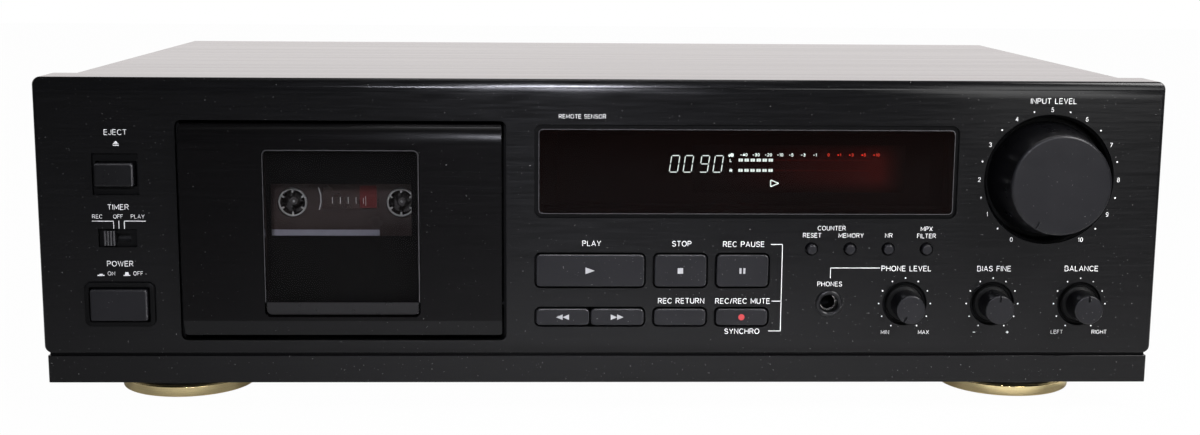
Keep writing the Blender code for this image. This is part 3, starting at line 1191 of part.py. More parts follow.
def knob_notch(make, knob, x, z, front, radius, length, degrees):
    """Cut the pointer line into a knob's face, at its rim."""
    angle = math.radians(degrees)
    line = bmesh.new()
    add_block(line, (-length, -OVERRUN, -NOTCH_WIDTH / 2), (OVERRUN, NOTCH_DEPTH, NOTCH_WIDTH / 2))
    bmesh.ops.rotate(line, verts=line.verts, matrix=Matrix.Rotation(-angle, 3, "Y"))
    shift = Vector((x + radius * math.cos(angle), front, z + radius * math.sin(angle)))
    bmesh.ops.translate(line, verts=line.verts, vec=shift)
    make.cut(knob, line)


def build_knobs(make):
    """Three small knobs, the large dial and the headphone jack."""
    shaft_end = FRONT_Y + SHAFT_END_DEPTH
    front = FRONT_Y - KNOB_PROUD
    for name, x, degrees in SMALL_KNOBS:
        flange_back = front - (KNOB_FLOOR - GAP)
        profile = [(0.0, 0.0), (KNOB_RADIUS - KNOB_EDGE, 0.0), (KNOB_RADIUS, -KNOB_EDGE),
                   (KNOB_RADIUS, front - FRONT_Y + KNOB_FLANGE_TOP),
                   (KNOB_FLANGE_RADIUS - KNOB_EDGE, front - FRONT_Y + KNOB_FLANGE_TOP),
                   (KNOB_FLANGE_RADIUS, front - FRONT_Y + KNOB_FLANGE_TOP - KNOB_EDGE),
                   (KNOB_FLANGE_RADIUS, flange_back), (SHAFT_RADIUS, flange_back),
                   (SHAFT_RADIUS, front - shaft_end), (0.0, front - shaft_end)]
        knob = make.turned(name, profile, "button", (x, front, KNOB_Z), steps=KNOB_STEPS)
        knob_notch(make, knob, x, KNOB_Z, front, KNOB_RADIUS, KNOB_NOTCH_LENGTH, degrees)
    front = FRONT_Y - DIAL_PROUD
    base = front - (DIAL_FLOOR - GAP)
    profile = [(0.0, 0.0), (DIAL_RADIUS - DIAL_EDGE, 0.0), (DIAL_RADIUS, -DIAL_EDGE),
               (DIAL_BASE_RADIUS, base), (DIAL_SHAFT_RADIUS, base),
               (DIAL_SHAFT_RADIUS, front - shaft_end), (0.0, front - shaft_end)]
    dial = make.turned("input_level_dial", profile, "button", (DIAL_X, front, DIAL_Z), steps=DIAL_STEPS)
    knob_notch(make, dial, DIAL_X, DIAL_Z, front, DIAL_RADIUS, DIAL_NOTCH_LENGTH, LOW_STOP_DEGREES)

    front = FRONT_Y - JACK_RING_PROUD
    ring_back = front - (FRONT_Y - GAP)
    body_front = front - (PLATE_BACK + GAP)
    body_back = front - (BOARD_FRONT - GAP)
    profile = [(0.0, -JACK_BORE_DEPTH), (JACK_BORE_RADIUS, -JACK_BORE_DEPTH), (JACK_BORE_RADIUS, 0.0),
               (JACK_RING_RADIUS, 0.0), (JACK_RING_RADIUS, ring_back), (JACK_BARREL_RADIUS, ring_back),
               (JACK_BARREL_RADIUS, body_front), (JACK_BODY_RADIUS, body_front),
               (JACK_BODY_RADIUS, body_back), (0.0, body_back)]
    make.turned("phones_jack", profile, "plastic", (PHONES_X, front, KNOB_Z), steps=KNOB_STEPS)


def build_front_board(make):
    """Board behind the panel, with key switches behind the buttons and the four potentiometers."""
    shape = bmesh.new()
    back = BOARD_FRONT + BOARD_THICKNESS
    add_block(shape, (MECH_RIGHT + BOARD_MARGIN, BOARD_FRONT, PANEL_BOTTOM + PANEL_WALL + BOARD_MARGIN / 2),
              (RIGHT - PANEL_WALL - BOARD_MARGIN, back, PANEL_TOP - PANEL_WALL - BOARD_MARGIN / 2))
    board = make.solid("front_board", shape, "board")
    middle = BOARD_FRONT + BOARD_THICKNESS / 2
    fitted = bmesh.new()
    places = [(x, z) for _, x, z, _, _ in KEYS] + [(x, ROUND_Z) for _, x in ROUND_KEYS]
    for x, z in places:
        add_slab(fitted, x, z, KEY_SWITCH_SIZE, KEY_SWITCH_SIZE, BOARD_FRONT - KEY_SWITCH_HEIGHT, middle)
    pot_front = PLATE_BACK + GAP + BUSHING_LENGTH
    for _, x, _ in SMALL_KNOBS:
        add_pin(fitted, x, KNOB_Z, pot_front, middle, POT_RADIUS)
    dial_pot_front = BOARD_FRONT - DIAL_POT_THICKNESS
    add_pin(fitted, DIAL_X, DIAL_Z, dial_pot_front, middle, DIAL_POT_RADIUS)
    make.join(board, fitted)
    bushings = bmesh.new()
    for _, x, _ in SMALL_KNOBS:
        add_pin(bushings, x, KNOB_Z, PLATE_BACK + GAP, pot_front + GAP, BUSHING_RADIUS)
    add_pin(bushings, DIAL_X, DIAL_Z, DIAL_FLOOR + DIAL_WELL_FLOOR + GAP, dial_pot_front + GAP,
            DIAL_BUSHING_RADIUS)
    make.join(board, bushings)
    bores = bmesh.new()
    end = FRONT_Y + SHAFT_END_DEPTH + GAP
    for _, x, _ in SMALL_KNOBS:
        add_pin(bores, x, KNOB_Z, FRONT_Y, end, SHAFT_RADIUS + SHAFT_FIT)
    add_pin(bores, DIAL_X, DIAL_Z, FRONT_Y, end, DIAL_SHAFT_RADIUS + SHAFT_FIT)
    make.cut(board, bores)


def build_mechanism(make):
    """Frame of the tape mechanism, with hinge pins, reel bores and the capstan bearing."""
    shape = bmesh.new()
    cheek_bottom = PANEL_BOTTOM + PANEL_WALL + CHEEK_BOTTOM_GAP
    add_block(shape, (MECH_LEFT, PLATE_BACK + GAP, cheek_bottom), (MECH_RIGHT, MECH_BACK, MECH_TOP))
    frame = make.solid("mechanism_frame", shape, "steel")
    space = bmesh.new()
    add_block(space, (MECH_LEFT + MECH_SHEET, PLATE_BACK - OVERRUN, cheek_bottom - OVERRUN),
              (MECH_RIGHT - MECH_SHEET, MECH_FRONT, MECH_TOP + OVERRUN))
    make.cut(frame, space)
    apron = bmesh.new()
    add_block(apron, (MECH_LEFT + MECH_SHEET, MECH_FRONT + GAP / 2, PAN_TOP + GAP),
              (MECH_RIGHT - MECH_SHEET, MECH_BACK - GAP / 2, cheek_bottom + MECH_SHEET))
    for x, way in ((MECH_LEFT + MECH_SHEET / 2, 1), (MECH_RIGHT - MECH_SHEET / 2, -1)):
        add_rod(apron, (x, HINGE.y, HINGE.z), (x + way * HINGE_PIN_LENGTH, HINGE.y, HINGE.z),
                HINGE_PIN_RADIUS)
    bearing_front = MECH_FRONT - BEARING_LENGTH
    add_pin(apron, CAPSTAN_X, CAPSTAN_Z, bearing_front, MECH_BACK + HOLDER_WALL, BEARING_RADIUS)
    make.join(frame, apron)
    bores = bmesh.new()
    behind = MECH_BACK + OVERRUN
    ahead = MECH_FRONT - OVERRUN
    for x in (LEFT_HUB_X, RIGHT_HUB_X):
        add_pin(bores, x, HUB_Z, ahead, behind, SPINDLE_SHAFT_RADIUS + GAP)
    add_pin(bores, IDLER_X, IDLER_Z, ahead, behind, IDLER_SHAFT_RADIUS + GAP)
    add_pin(bores, CAPSTAN_X, CAPSTAN_Z, bearing_front - OVERRUN, behind + HOLDER_WALL,
            CAPSTAN_RADIUS + BEARING_FIT)
    make.cut(frame, bores)


def build_reel_drive(make):
    """Reel spindles with their tables, the idler wheel between them and its motor."""
    tip = CASSETTE_BACK - SPINDLE_REACH
    cone_back = tip + SPINDLE_REACH
    shaft_end = MECH_BACK + GAP
    for name, x in (("left_spindle", LEFT_HUB_X), ("right_spindle", RIGHT_HUB_X)):
        profile = [(0.0, 0.0), (SPINDLE_TIP_RADIUS, 0.0), (SPINDLE_RADIUS, tip - cone_back),
                   (SPINDLE_RADIUS, tip - TABLE_FRONT), (TABLE_RADIUS - KNOB_EDGE, tip - TABLE_FRONT),
                   (TABLE_RADIUS, tip - TABLE_FRONT - KNOB_EDGE), (TABLE_RADIUS, tip - TABLE_BACK),
                   (SPINDLE_SHAFT_RADIUS, tip - TABLE_BACK), (SPINDLE_SHAFT_RADIUS, tip - shaft_end),
                   (0.0, tip - shaft_end)]
        spindle = make.turned(name, profile, "white", (x, tip, HUB_Z))
        for turn in range(SPINDLE_FINS):
            fin = bmesh.new()
            add_block(fin, (0.0, cone_back - OVERRUN, -SPINDLE_FIN_WIDTH / 2),
                      (SPINDLE_FIN_RADIUS, TABLE_FRONT + KNOB_EDGE, SPINDLE_FIN_WIDTH / 2))
            angle = 2 * math.pi * turn / SPINDLE_FINS
            bmesh.ops.rotate(fin, verts=fin.verts, matrix=Matrix.Rotation(angle, 3, "Y"))
            bmesh.ops.translate(fin, verts=fin.verts, vec=(x, 0.0, HUB_Z))
            make.join(spindle, fin)
    front = TABLE_BACK - IDLER_THICKNESS
    motor_front = MECH_BACK + GAP
    end = motor_front + OVERRUN
    profile = [(0.0, 0.0), (IDLER_RADIUS, 0.0), (IDLER_RADIUS, -IDLER_THICKNESS),
               (IDLER_SHAFT_RADIUS, -IDLER_THICKNESS), (IDLER_SHAFT_RADIUS, front - end),
               (0.0, front - end)]
    make.turned("reel_idler", profile, "rubber", (IDLER_X, front, IDLER_Z))
    bore = IDLER_SHAFT_RADIUS + GAP
    depth = OVERRUN + GAP
    profile = [(0.0, -depth), (bore, -depth), (bore, 0.0), (REEL_MOTOR_RADIUS, 0.0),
               (REEL_MOTOR_RADIUS, -REEL_MOTOR_LENGTH), (0.0, -REEL_MOTOR_LENGTH)]
    make.turned("reel_motor", profile, "steel", (IDLER_X, motor_front, IDLER_Z))


def build_capstan_drive(make):
    """Capstan with its flywheel, the motor and pulley, and the flat belt round both."""
    tip = NOSE_BACK - CAPSTAN_ENTRY
    front = FLYWHEEL_FRONT
    back = FLYWHEEL_BACK
    rim = FLYWHEEL_RADIUS - FLYWHEEL_RIM
    profile = [(0.0, 0.0), (CAPSTAN_RADIUS, 0.0), (CAPSTAN_RADIUS, tip - front),
               (FLYWHEEL_RADIUS, tip - front), (FLYWHEEL_RADIUS, tip - back), (rim, tip - back),
               (rim, tip - front - FLYWHEEL_WEB), (FLYWHEEL_HUB_RADIUS, tip - front - FLYWHEEL_WEB),
               (FLYWHEEL_HUB_RADIUS, tip - back), (0.0, tip - back)]
    make.turned("capstan_flywheel", profile, "brass", (CAPSTAN_X, tip, CAPSTAN_Z), steps=FOOT_STEPS)

    pulley_front = front + (FLYWHEEL_THICKNESS - PULLEY_LENGTH) / 2
    pulley_back = pulley_front + PULLEY_LENGTH
    profile = [(PULLEY_BORE_RADIUS, 0.0), (PULLEY_RADIUS, 0.0), (PULLEY_RADIUS, -PULLEY_LENGTH),
               (PULLEY_BORE_RADIUS, -PULLEY_LENGTH)]
    make.turned("motor_pulley", profile, "brass", (MOTOR_X, pulley_front, CAPSTAN_Z), closed=True)

    motor_front = pulley_back + 2 * GAP
    shape = bmesh.new()
    add_pin(shape, MOTOR_X, CAPSTAN_Z, motor_front, motor_front + MOTOR_LENGTH, MOTOR_RADIUS)
    motor = make.solid("capstan_motor", shape, "steel")
    posts = bmesh.new()
    add_pin(posts, MOTOR_X, CAPSTAN_Z, pulley_front + GAP, motor_front + GAP, MOTOR_SHAFT_RADIUS, PIN_STEPS)
    reach = MOTOR_RADIUS - MOTOR_POST_RADIUS - GAP
    for sign in (-1, 1):
        angle = math.radians(sign * MOTOR_POST_DEGREES)
        x = MOTOR_X + reach * math.cos(angle)
        z = CAPSTAN_Z + reach * math.sin(angle)
        add_pin(posts, x, z, MECH_BACK + GAP, motor_front + GAP, MOTOR_POST_RADIUS, PIN_STEPS)
    make.join(motor, posts)

    middle = (pulley_front + pulley_back) / 2
    shape = bmesh.new()
    add_outline(shape, [belt_loop(GAP + BELT_THICKNESS), belt_loop(GAP)], middle - BELT_WIDTH / 2,
                middle + BELT_WIDTH / 2, "Y")
    make.solid("drive_belt", shape, "rubber")


def belt_loop(offset):
    """Outline that runs round the flywheel and the pulley at one offset from both."""
    span = CAPSTAN_X - MOTOR_X
    lean = math.degrees(math.acos((FLYWHEEL_RADIUS - PULLEY_RADIUS) / span))
    half_turn = 180 - lean
    right = circle_points(CAPSTAN_X, CAPSTAN_Z, FLYWHEEL_RADIUS + offset, ROUND_STEPS, -half_turn,
                          2 * half_turn)
    left = circle_points(MOTOR_X, CAPSTAN_Z, PULLEY_RADIUS + offset, ROUND_STEPS // 2, half_turn, 2 * lean)
    return right + left


def build_heads(make):
    """Head block with its carriage and the pinch axle, and the pinch roller, lowered as in stop."""
    carriage_back = MECH_FRONT - GAP
    carriage_front = carriage_back - CARRIAGE_THICKNESS
    top = ROLLER_Z + ROLLER_RADIUS
    bottom = top - CARRIAGE_HEIGHT
    half = HEAD_WIDTH / 2
    shape = bmesh.new()
    add_block(shape, (TAPE_X - CAPSTAN_OFFSET - half, carriage_front, bottom),
              (TAPE_X + CAPSTAN_OFFSET + half, carriage_back, top))
    block = make.solid("head_block", shape, "steel")
    heads = bmesh.new()
    for x in (TAPE_X, TAPE_X - CAPSTAN_OFFSET):
        add_block(heads, (x - half, CASSETTE_MIDDLE - SLOT_THICKNESS, top - HEAD_HEIGHT),
                  (x + half, carriage_front + GAP, top - GAP), HEAD_ROUND, "Y")
    make.join(block, heads)
    axle = bmesh.new()
    roller_front = ROLLER_MIDDLE - ROLLER_LENGTH / 2
    roller_back = ROLLER_MIDDLE + ROLLER_LENGTH / 2
    add_pin(axle, CAPSTAN_X, ROLLER_Z, roller_front - AXLE_RADIUS, carriage_front + GAP, AXLE_RADIUS,
            PIN_STEPS)
    make.join(block, axle)
    collar = bmesh.new()
    add_pin(collar, CAPSTAN_X, ROLLER_Z, roller_back + GAP, carriage_front + GAP, AXLE_COLLAR_RADIUS)
    make.join(block, collar)
    bore = AXLE_RADIUS + GAP
    profile = [(bore, 0.0), (ROLLER_RADIUS, 0.0), (ROLLER_RADIUS, -ROLLER_LENGTH), (bore, -ROLLER_LENGTH)]
    make.turned("pinch_roller", profile, "rubber", (CAPSTAN_X, roller_front, ROLLER_Z), closed=True)


def build_electronics(make):
    """Main board on standoffs, and the mains transformer."""
    board_bottom = PAN_TOP + MAIN_BOARD_RISE
    board_top = board_bottom + BOARD_THICKNESS
    left = PAN_LEFT + TRANSFORMER_SIDE_MARGIN + CORE_WIDTH + 2 * TRANSFORMER_TAB
    right = -PAN_LEFT - MAIN_BOARD_SIDE_MARGIN
    front = FRONT_Y + MAIN_BOARD_FRONT_DEPTH
    back = REAR_INNER - MAIN_BOARD_REAR_MARGIN
    shape = bmesh.new()
    add_block(shape, (left, front, board_bottom), (right, back, board_top))
    board = make.solid("main_board", shape, "board")
    fitted = bmesh.new()
    inset = MAIN_BOARD_SIDE_MARGIN / 2
    for x in (left + inset, right - inset):
        for y in (front + inset, back - inset):
            add_rod(fitted, (x, y, PAN_TOP + GAP), (x, y, board_bottom + GAP), STANDOFF_RADIUS,
                    steps=PIN_STEPS)
    width = right - left
    depth = back - front
    base = board_top - GAP
    for x_share, y_share in MAIN_CAPACITOR_SHARES:
        x = left + width * x_share
        y = front + depth * y_share
        add_rod(fitted, (x, y, base), (x, y, base + CAPACITOR_HEIGHT), CAPACITOR_RADIUS)
    for x_share, y_share in SMALL_CAPACITOR_SHARES:
        x = left + width * x_share
        y = front + depth * y_share
        add_rod(fitted, (x, y, base), (x, y, base + SMALL_CAPACITOR_HEIGHT), SMALL_CAPACITOR_RADIUS,
                steps=PIN_STEPS)
    for x_share, y_share in CHIP_SHARES:
        x = left + width * x_share
        y = front + depth * y_share
        add_block(fitted, (x - CHIP_LENGTH / 2, y - CHIP_WIDTH / 2, base),
                  (x + CHIP_LENGTH / 2, y + CHIP_WIDTH / 2, base + CHIP_HEIGHT))
    sink_x = left + width * HEATSINK_SHARES[0]
    sink_back = front + depth * HEATSINK_SHARES[1]
    fin_pitch = depth * FIN_PITCH_SHARE
    for fin in range(HEATSINK_FINS):
        y = sink_back - fin * fin_pitch
        add_block(fitted, (sink_x - HEATSINK_WIDTH / 2, y - fin_pitch / 2, base),
                  (sink_x + HEATSINK_WIDTH / 2, y, base + HEATSINK_HEIGHT))
    make.join(board, fitted)

    x = PAN_LEFT + TRANSFORMER_SIDE_MARGIN + CORE_WIDTH / 2
    y = REAR_INNER - TRANSFORMER_REAR_MARGIN - CORE_DEPTH / 2
    foot_bottom = PAN_TOP + GAP
    foot_top = foot_bottom + TRANSFORMER_FOOT
    shape = bmesh.new()
    add_block(shape, (x - CORE_WIDTH / 2, y - CORE_DEPTH / 2, foot_bottom + GAP),
              (x + CORE_WIDTH / 2, y + CORE_DEPTH / 2, foot_top + CORE_HEIGHT))
    transformer = make.solid("power_transformer", shape, "steel")
    foot = bmesh.new()
    reach = CORE_WIDTH / 2 + TRANSFORMER_TAB
    add_block(foot, (x - reach, y - CORE_DEPTH / 2 + GAP, foot_bottom),
              (x + reach, y + CORE_DEPTH / 2 - GAP, foot_top))
    make.join(transformer, foot)
    coil = bmesh.new()
    middle = foot_top + CORE_HEIGHT / 2
    add_block(coil, (x - COIL_WIDTH / 2, y - COIL_DEPTH / 2, middle - COIL_HEIGHT / 2),
              (x + COIL_WIDTH / 2, y + COIL_DEPTH / 2, middle + COIL_HEIGHT / 2), CASSETTE_RIM, "X")
    make.join(transformer, coil)


def build_rear_fittings(make):
    """Line jack block with four barrels, and the mains inlet."""
    shape = bmesh.new()
    block_width = LINE_PITCH_X + 2 * LINE_BLOCK_MARGIN
    block_height = LINE_PITCH_Z + 2 * LINE_BLOCK_MARGIN
    block_back = REAR_INNER - GAP
    add_slab(shape, LINE_X, LINE_Z, block_width, block_height, block_back - LINE_BLOCK_DEPTH, block_back)
    block = make.solid("line_jacks", shape, "plastic")
    barrels = bmesh.new()
    bores = bmesh.new()
    tip = REAR_FACE + JACK_PROUD
    for x, z in LINE_PLACES:
        add_pin(barrels, x, z, block_back - GAP, tip, BARREL_RADIUS)
        add_pin(bores, x, z, tip - BARREL_BORE_DEPTH, tip + OVERRUN, BARREL_BORE_RADIUS, PIN_STEPS)
    make.join(block, barrels)
    make.cut(block, bores)

    shape = bmesh.new()
    flange_front = REAR_FACE + GAP
    rear = flange_front + INLET_FLANGE
    add_slab(shape, INLET_X, INLET_Z, INLET_WIDTH, INLET_HEIGHT, flange_front, rear)
    inlet = make.solid("mains_inlet", shape, "plastic")
    body = bmesh.new()
    add_slab(body, INLET_X, INLET_Z, INLET_WIDTH - 2 * INLET_BODY_INSET,
             INLET_HEIGHT - 2 * INLET_BODY_INSET, rear - INLET_DEPTH, rear - GAP)
    make.join(inlet, body)
    cavity = bmesh.new()
    add_slab(cavity, INLET_X, INLET_Z, INLET_CAVITY_WIDTH, INLET_CAVITY_HEIGHT, rear - INLET_CAVITY_DEPTH,
             rear + OVERRUN, INLET_CAVITY_CORNER)
    make.cut(inlet, cavity)
    pins = bmesh.new()
    for side in (-1, 1):
        add_pin(pins, INLET_X + side * INLET_PIN_SPACING / 2, INLET_Z, rear - INLET_CAVITY_DEPTH - GAP,
                rear - INLET_CAVITY_DEPTH + INLET_PIN_LENGTH, INLET_PIN_RADIUS, PIN_STEPS)
    make.join(inlet, pins)


def main():
    """Build the whole deck."""
    clear_scene()
    make = Builder()
    build_front_panel(make)
    build_case(make)
    build_feet(make)
    build_buttons(make)
    build_left_controls(make)
    build_door(make)
    build_reels(make)
    build_display(make)
    build_knobs(make)
    build_front_board(make)
    build_mechanism(make)
    build_reel_drive(make)
    build_capstan_drive(make)
    build_heads(make)
    build_electronics(make)
    build_rear_fittings(make)


main()
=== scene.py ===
import math

import bmesh
import bpy
from mathutils import Matrix, Vector


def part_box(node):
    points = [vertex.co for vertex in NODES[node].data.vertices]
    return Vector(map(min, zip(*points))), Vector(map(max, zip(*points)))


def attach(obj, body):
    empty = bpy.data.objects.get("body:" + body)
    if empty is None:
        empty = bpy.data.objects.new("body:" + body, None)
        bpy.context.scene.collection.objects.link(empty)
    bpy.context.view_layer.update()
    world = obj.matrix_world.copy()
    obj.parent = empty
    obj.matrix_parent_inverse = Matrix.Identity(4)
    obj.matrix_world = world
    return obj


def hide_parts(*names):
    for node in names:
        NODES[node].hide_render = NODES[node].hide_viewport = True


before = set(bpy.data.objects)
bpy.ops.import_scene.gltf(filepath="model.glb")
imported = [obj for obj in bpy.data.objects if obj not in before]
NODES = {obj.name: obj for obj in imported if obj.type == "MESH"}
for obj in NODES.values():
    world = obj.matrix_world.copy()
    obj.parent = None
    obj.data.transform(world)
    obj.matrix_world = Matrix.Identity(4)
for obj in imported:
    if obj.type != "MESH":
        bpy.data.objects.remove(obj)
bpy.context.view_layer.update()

CORNER_STEPS = 10
ROUND_STEPS = 96
SMALL_STEPS = 64
MERGE_DISTANCE = 0.0000005
TINY_RADIUS = 0.000002
SHARPEST_MITRE = 0.55
HARD_EDGE = 40


# Shapes
def middle(node):
    """Centre of a CAD node's box."""
    low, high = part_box(node)
    return (low + high) / 2


def depths(node):
    """Front and back of a CAD node's box."""
    return [corner.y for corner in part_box(node)]


def new_object(name, data):
    """An object in the scene that holds some data."""
    item = bpy.data.objects.new(name, data)
    bpy.context.scene.collection.objects.link(item)
    return item


def oval(x, z, x_radius, z_radius, start, end, steps):
    """Points on part of an oval, both ends included, with the angles in degrees."""
    turns = [math.radians(start + (end - start) * step / steps) for step in range(steps + 1)]
    return [(x + x_radius * math.cos(turn), z + z_radius * math.sin(turn)) for turn in turns]


def arc(x, z, radius, start, end, steps=8):
    """Points on part of a circle."""
    return oval(x, z, radius, radius, start, end, steps)


def circle(radius, steps):
    """Points of a whole circle round the origin, which never shrinks to one point."""
    return arc(0.0, 0.0, max(radius, TINY_RADIUS), 0, 360, steps)[:-1]


def outline(width, height, radius):
    """Points of a rounded rectangle round the origin, as (x, z) pairs."""
    radius = max(min(radius, width / 2, height / 2), 0.00001)
    points = []
    for x_side, z_side, start in ((1, 1, 0), (-1, 1, 90), (-1, -1, 180), (1, -1, 270)):
        points += arc(x_side * (width / 2 - radius), z_side * (height / 2 - radius), radius, start, start + 90,
                      CORNER_STEPS)
    return points


def soft_sections(width, height, radius, front, edge, steps=4):
    """Sections of a plate's rounded front edge, as (width, height, corner radius, y)."""
    found = []
    for step in range(steps + 1):
        angle = math.pi / 2 * step / steps
        inset = edge * (1 - math.sin(angle))
        found.append((width - 2 * inset, height - 2 * inset, radius - inset,
                      front + edge * (1 - math.cos(angle))))
    return found


class Form:
    """A shape in the making: each method adds to it and hands it back."""

    def __init__(self):
        self.mesh = bmesh.new()
        self.made = None

    def loft(self, rings, closed=False):
        """Skin a row of rings that hold the same number of points, with end caps unless it closes."""
        made = [[self.mesh.verts.new(point) for point in ring] for ring in rings]
        pairs = list(zip(made, made[1:]))
        if closed:
            pairs.append((made[-1], made[0]))
        count = len(made[0])
        for first, second in pairs:
            for index in range(count):
                after = (index + 1) % count
                self.mesh.faces.new((first[index], first[after], second[after], second[index]))
        if not closed:
            self.mesh.faces.new(made[0])
            self.mesh.faces.new(made[-1])
        return self

    def slab(self, x, z, sections, closed=False):
        """Rounded plate facing the front, through (width, height, corner radius, y) sections."""
        return self.loft([[(x + a, y, z + b) for a, b in outline(width, height, radius)]
                          for width, height, radius, y in sections], closed)

    def plate(self, x, z, width, height, radius, front, back):
        """Rounded plate with straight sides."""
        return self.slab(x, z, [(width, height, radius, y) for y in (front, back)])

    def soft_plate(self, x, z, width, height, radius, front, back, edge, steps=4):
        """Rounded plate whose front edge is rounded too."""
        return self.slab(x, z, soft_sections(width, height, radius, front, edge, steps)
                         + [(width, height, radius, back)])

    def band(self, x, z, width, height, radius, section):
        """Rounded frame, through (inset, y) points of its section."""
        return self.slab(x, z, [(width - 2 * inset, height - 2 * inset, radius - inset, y)
                                for inset, y in section], True)

    def block(self, low, high):
        """Plain box between two corners."""
        low, high = Vector(low), Vector(high)
        place = Matrix.Translation((low + high) / 2) @ Matrix.Diagonal((*(high - low), 1.0))
        bmesh.ops.create_cube(self.mesh, size=1.0, matrix=place)
        return self

    def beam(self, section, left, right):
        """Bar across the front, with (y, z) points as its section."""
        return self.loft([[(x, y, z) for y, z in section] for x in (left, right)])

    def flat(self, points, front, back):
        """Shape of one thickness from (x, z) points."""
        return self.loft([[(x, y, z) for x, z in points] for y in (front, back)])

    def lathe(self, x, z, profile, steps=ROUND_STEPS, closed=False):
        """Turn (radius, y) points about an axis that runs from front to back."""
        return self.loft([[(x + a, y, z + b) for a, b in circle(radius, steps)] for radius, y in profile],
                         closed)

    def rod(self, x, z, radius, front, back, steps=ROUND_STEPS):
        """Round bar that runs from front to back."""
        return self.lathe(x, z, [(0.0, front), (radius, front), (radius, back), (0.0, back)], steps)

    def tube(self, x, z, inner, outer, front, back, steps=ROUND_STEPS):
        """Round bar with a bore."""
        return self.lathe(x, z, [(inner, front), (outer, front), (outer, back), (inner, back)], steps, True)

    def lathe_up(self, x, y, profile, closed=False):
        """Turn (radius, z) points about an upright axis."""
        return self.loft([[(x + a, y + b, z) for a, b in circle(radius, ROUND_STEPS)]
                          for radius, z in profile], closed)

    def data(self):
        """The shape as mesh data with clean normals."""
        if self.made is None:
            bmesh.ops.remove_doubles(self.mesh, verts=self.mesh.verts, dist=MERGE_DISTANCE)
            bmesh.ops.dissolve_degenerate(self.mesh, edges=self.mesh.edges, dist=MERGE_DISTANCE)
            bmesh.ops.recalc_face_normals(self.mesh, faces=self.mesh.faces)
            self.made = bpy.data.meshes.new("form")
            self.mesh.to_mesh(self.made)
            self.mesh.free()
        return self.made

    def add(self, other):
        """Take in another finished shape as it is."""
        self.mesh.from_mesh(other.data())
        return self

    def moved(self, matrix):
        """Turn and shift the finished shape."""
        self.data().transform(matrix)
        return self

    def combine(self, other, operation):
        """Run a boolean with another shape."""
        base, tool = [new_object("step", form.data()) for form in (self, other)]
        step = base.modifiers.new("step", "BOOLEAN")
        step.operation = operation
        step.solver = "EXACT"
        step.object = tool
        graph = bpy.context.evaluated_depsgraph_get()
        self.made = bpy.data.meshes.new_from_object(base.evaluated_get(graph))
        bpy.data.objects.remove(base)
        bpy.data.objects.remove(tool)
        return self

    def cut(self, other):
        """Cut another shape out."""
        return self.combine(other, "DIFFERENCE")

    def join(self, other):
        """Join another shape on."""
        return self.combine(other, "UNION")

    def piece(self, name, look, body="chassis", slot="black_plastic", replaced=None, sharp=34, bevel=0.0):
        """Finish the shape as a piece that rides on a body, and may replace a CAD node."""
        data = self.data()
        data.name = name
        data.materials.clear()
        data.materials.append(LOOKS[look])
        data.polygons.foreach_set("use_smooth", [True] * len(data.polygons))
        data.polygons.foreach_set("material_index", [0] * len(data.polygons))
        data.set_sharp_from_angle(angle=math.radians(sharp))
        item = new_object(name, data)
        if bevel > 0:
            soften(item, bevel).use_clamp_overlap = True
        weigh = item.modifiers.new("normals", "WEIGHTED_NORMAL")
        weigh.keep_sharp = True
        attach(item, body)
        if replaced:
            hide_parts(replaced)
        return item


class Print(Form):
    """Printed shapes, all between the same two depths."""

    def __init__(self, front, back):
        super().__init__()
        self.front, self.back = front, back

    def fill(self, points):
        """Filled outline from (x, z) points."""
        return self.flat(points, self.front, self.back)

    def patch(self, low_x, low_z, high_x, high_z):
        """Filled rectangle."""
        return self.fill([(low_x, low_z), (high_x, low_z), (high_x, high_z), (low_x, high_z)])

    def dot(self, x, z, radius, steps=16):
        """Filled circle."""
        return self.rod(x, z, radius, self.front, self.back, steps)

    def stroke(self, start, end, width):
        """Bar between two (x, z) points, with pointed ends."""
        start, end = Vector(start), Vector(end)
        run = (end - start).normalized()
        side = Vector((-run.y, run.x)) * width / 2
        tip = run * width / 2
        return self.fill([tuple(point) for point in (start, start + tip + side, end - tip + side, end,
                                                     end - tip - side, start + tip - side)])

    def line(self, points, width):
        """Upright and level runs through (x, z) points."""
        half = width / 2
        for (ax, az), (bx, bz) in zip(points, points[1:]):
            self.patch(min(ax, bx) - half, min(az, bz) - half, max(ax, bx) + half, max(az, bz) + half)
        return self

    def ribbon(self, points, width):
        """Band of one width along (x, z) points, with mitred bends."""
        closed = len(points) > 3 and (Vector(points[0]) - Vector(points[-1])).length < 0.000001
        path = [Vector(point) for point in (points[:-1] if closed else points)]
        count = len(path)
        rings = []
        for index in range(count):
            before = path[index] - path[index - 1] if index or closed else path[1] - path[0]
            after = path[(index + 1) % count] - path[index] if index < count - 1 or closed else before
            before.normalize()
            after.normalize()
            side = Vector((-before.y - after.y, before.x + after.x)).normalized()
            reach = width / 2 / max(SHARPEST_MITRE, side.dot(Vector((-before.y, before.x))))
            a = path[index] + side * reach
            b = path[index] - side * reach
            rings.append([(a.x, self.front, a.y), (b.x, self.front, b.y), (b.x, self.back, b.y),
                          (a.x, self.back, a.y)])
        return self.loft(rings, closed)

    def write(self, words, x, z, cap, weight=0.13, gap=0.15):
        """Words of one cap height in plain strokes, centred on a point."""
        scale = cap * (1 - weight)
        space = cap * (gap + weight)
        widths = [cap * GLYPHS[letter][0] for letter in words]
        left = x - (sum(widths) + space * (len(words) - 1)) / 2
        for letter, width in zip(words, widths):
            for points in GLYPHS[letter][1:]:
                self.ribbon([(left + a * cap, z + (b - 0.5) * scale) for a, b in points], cap * weight)
            left += width + space
        return self


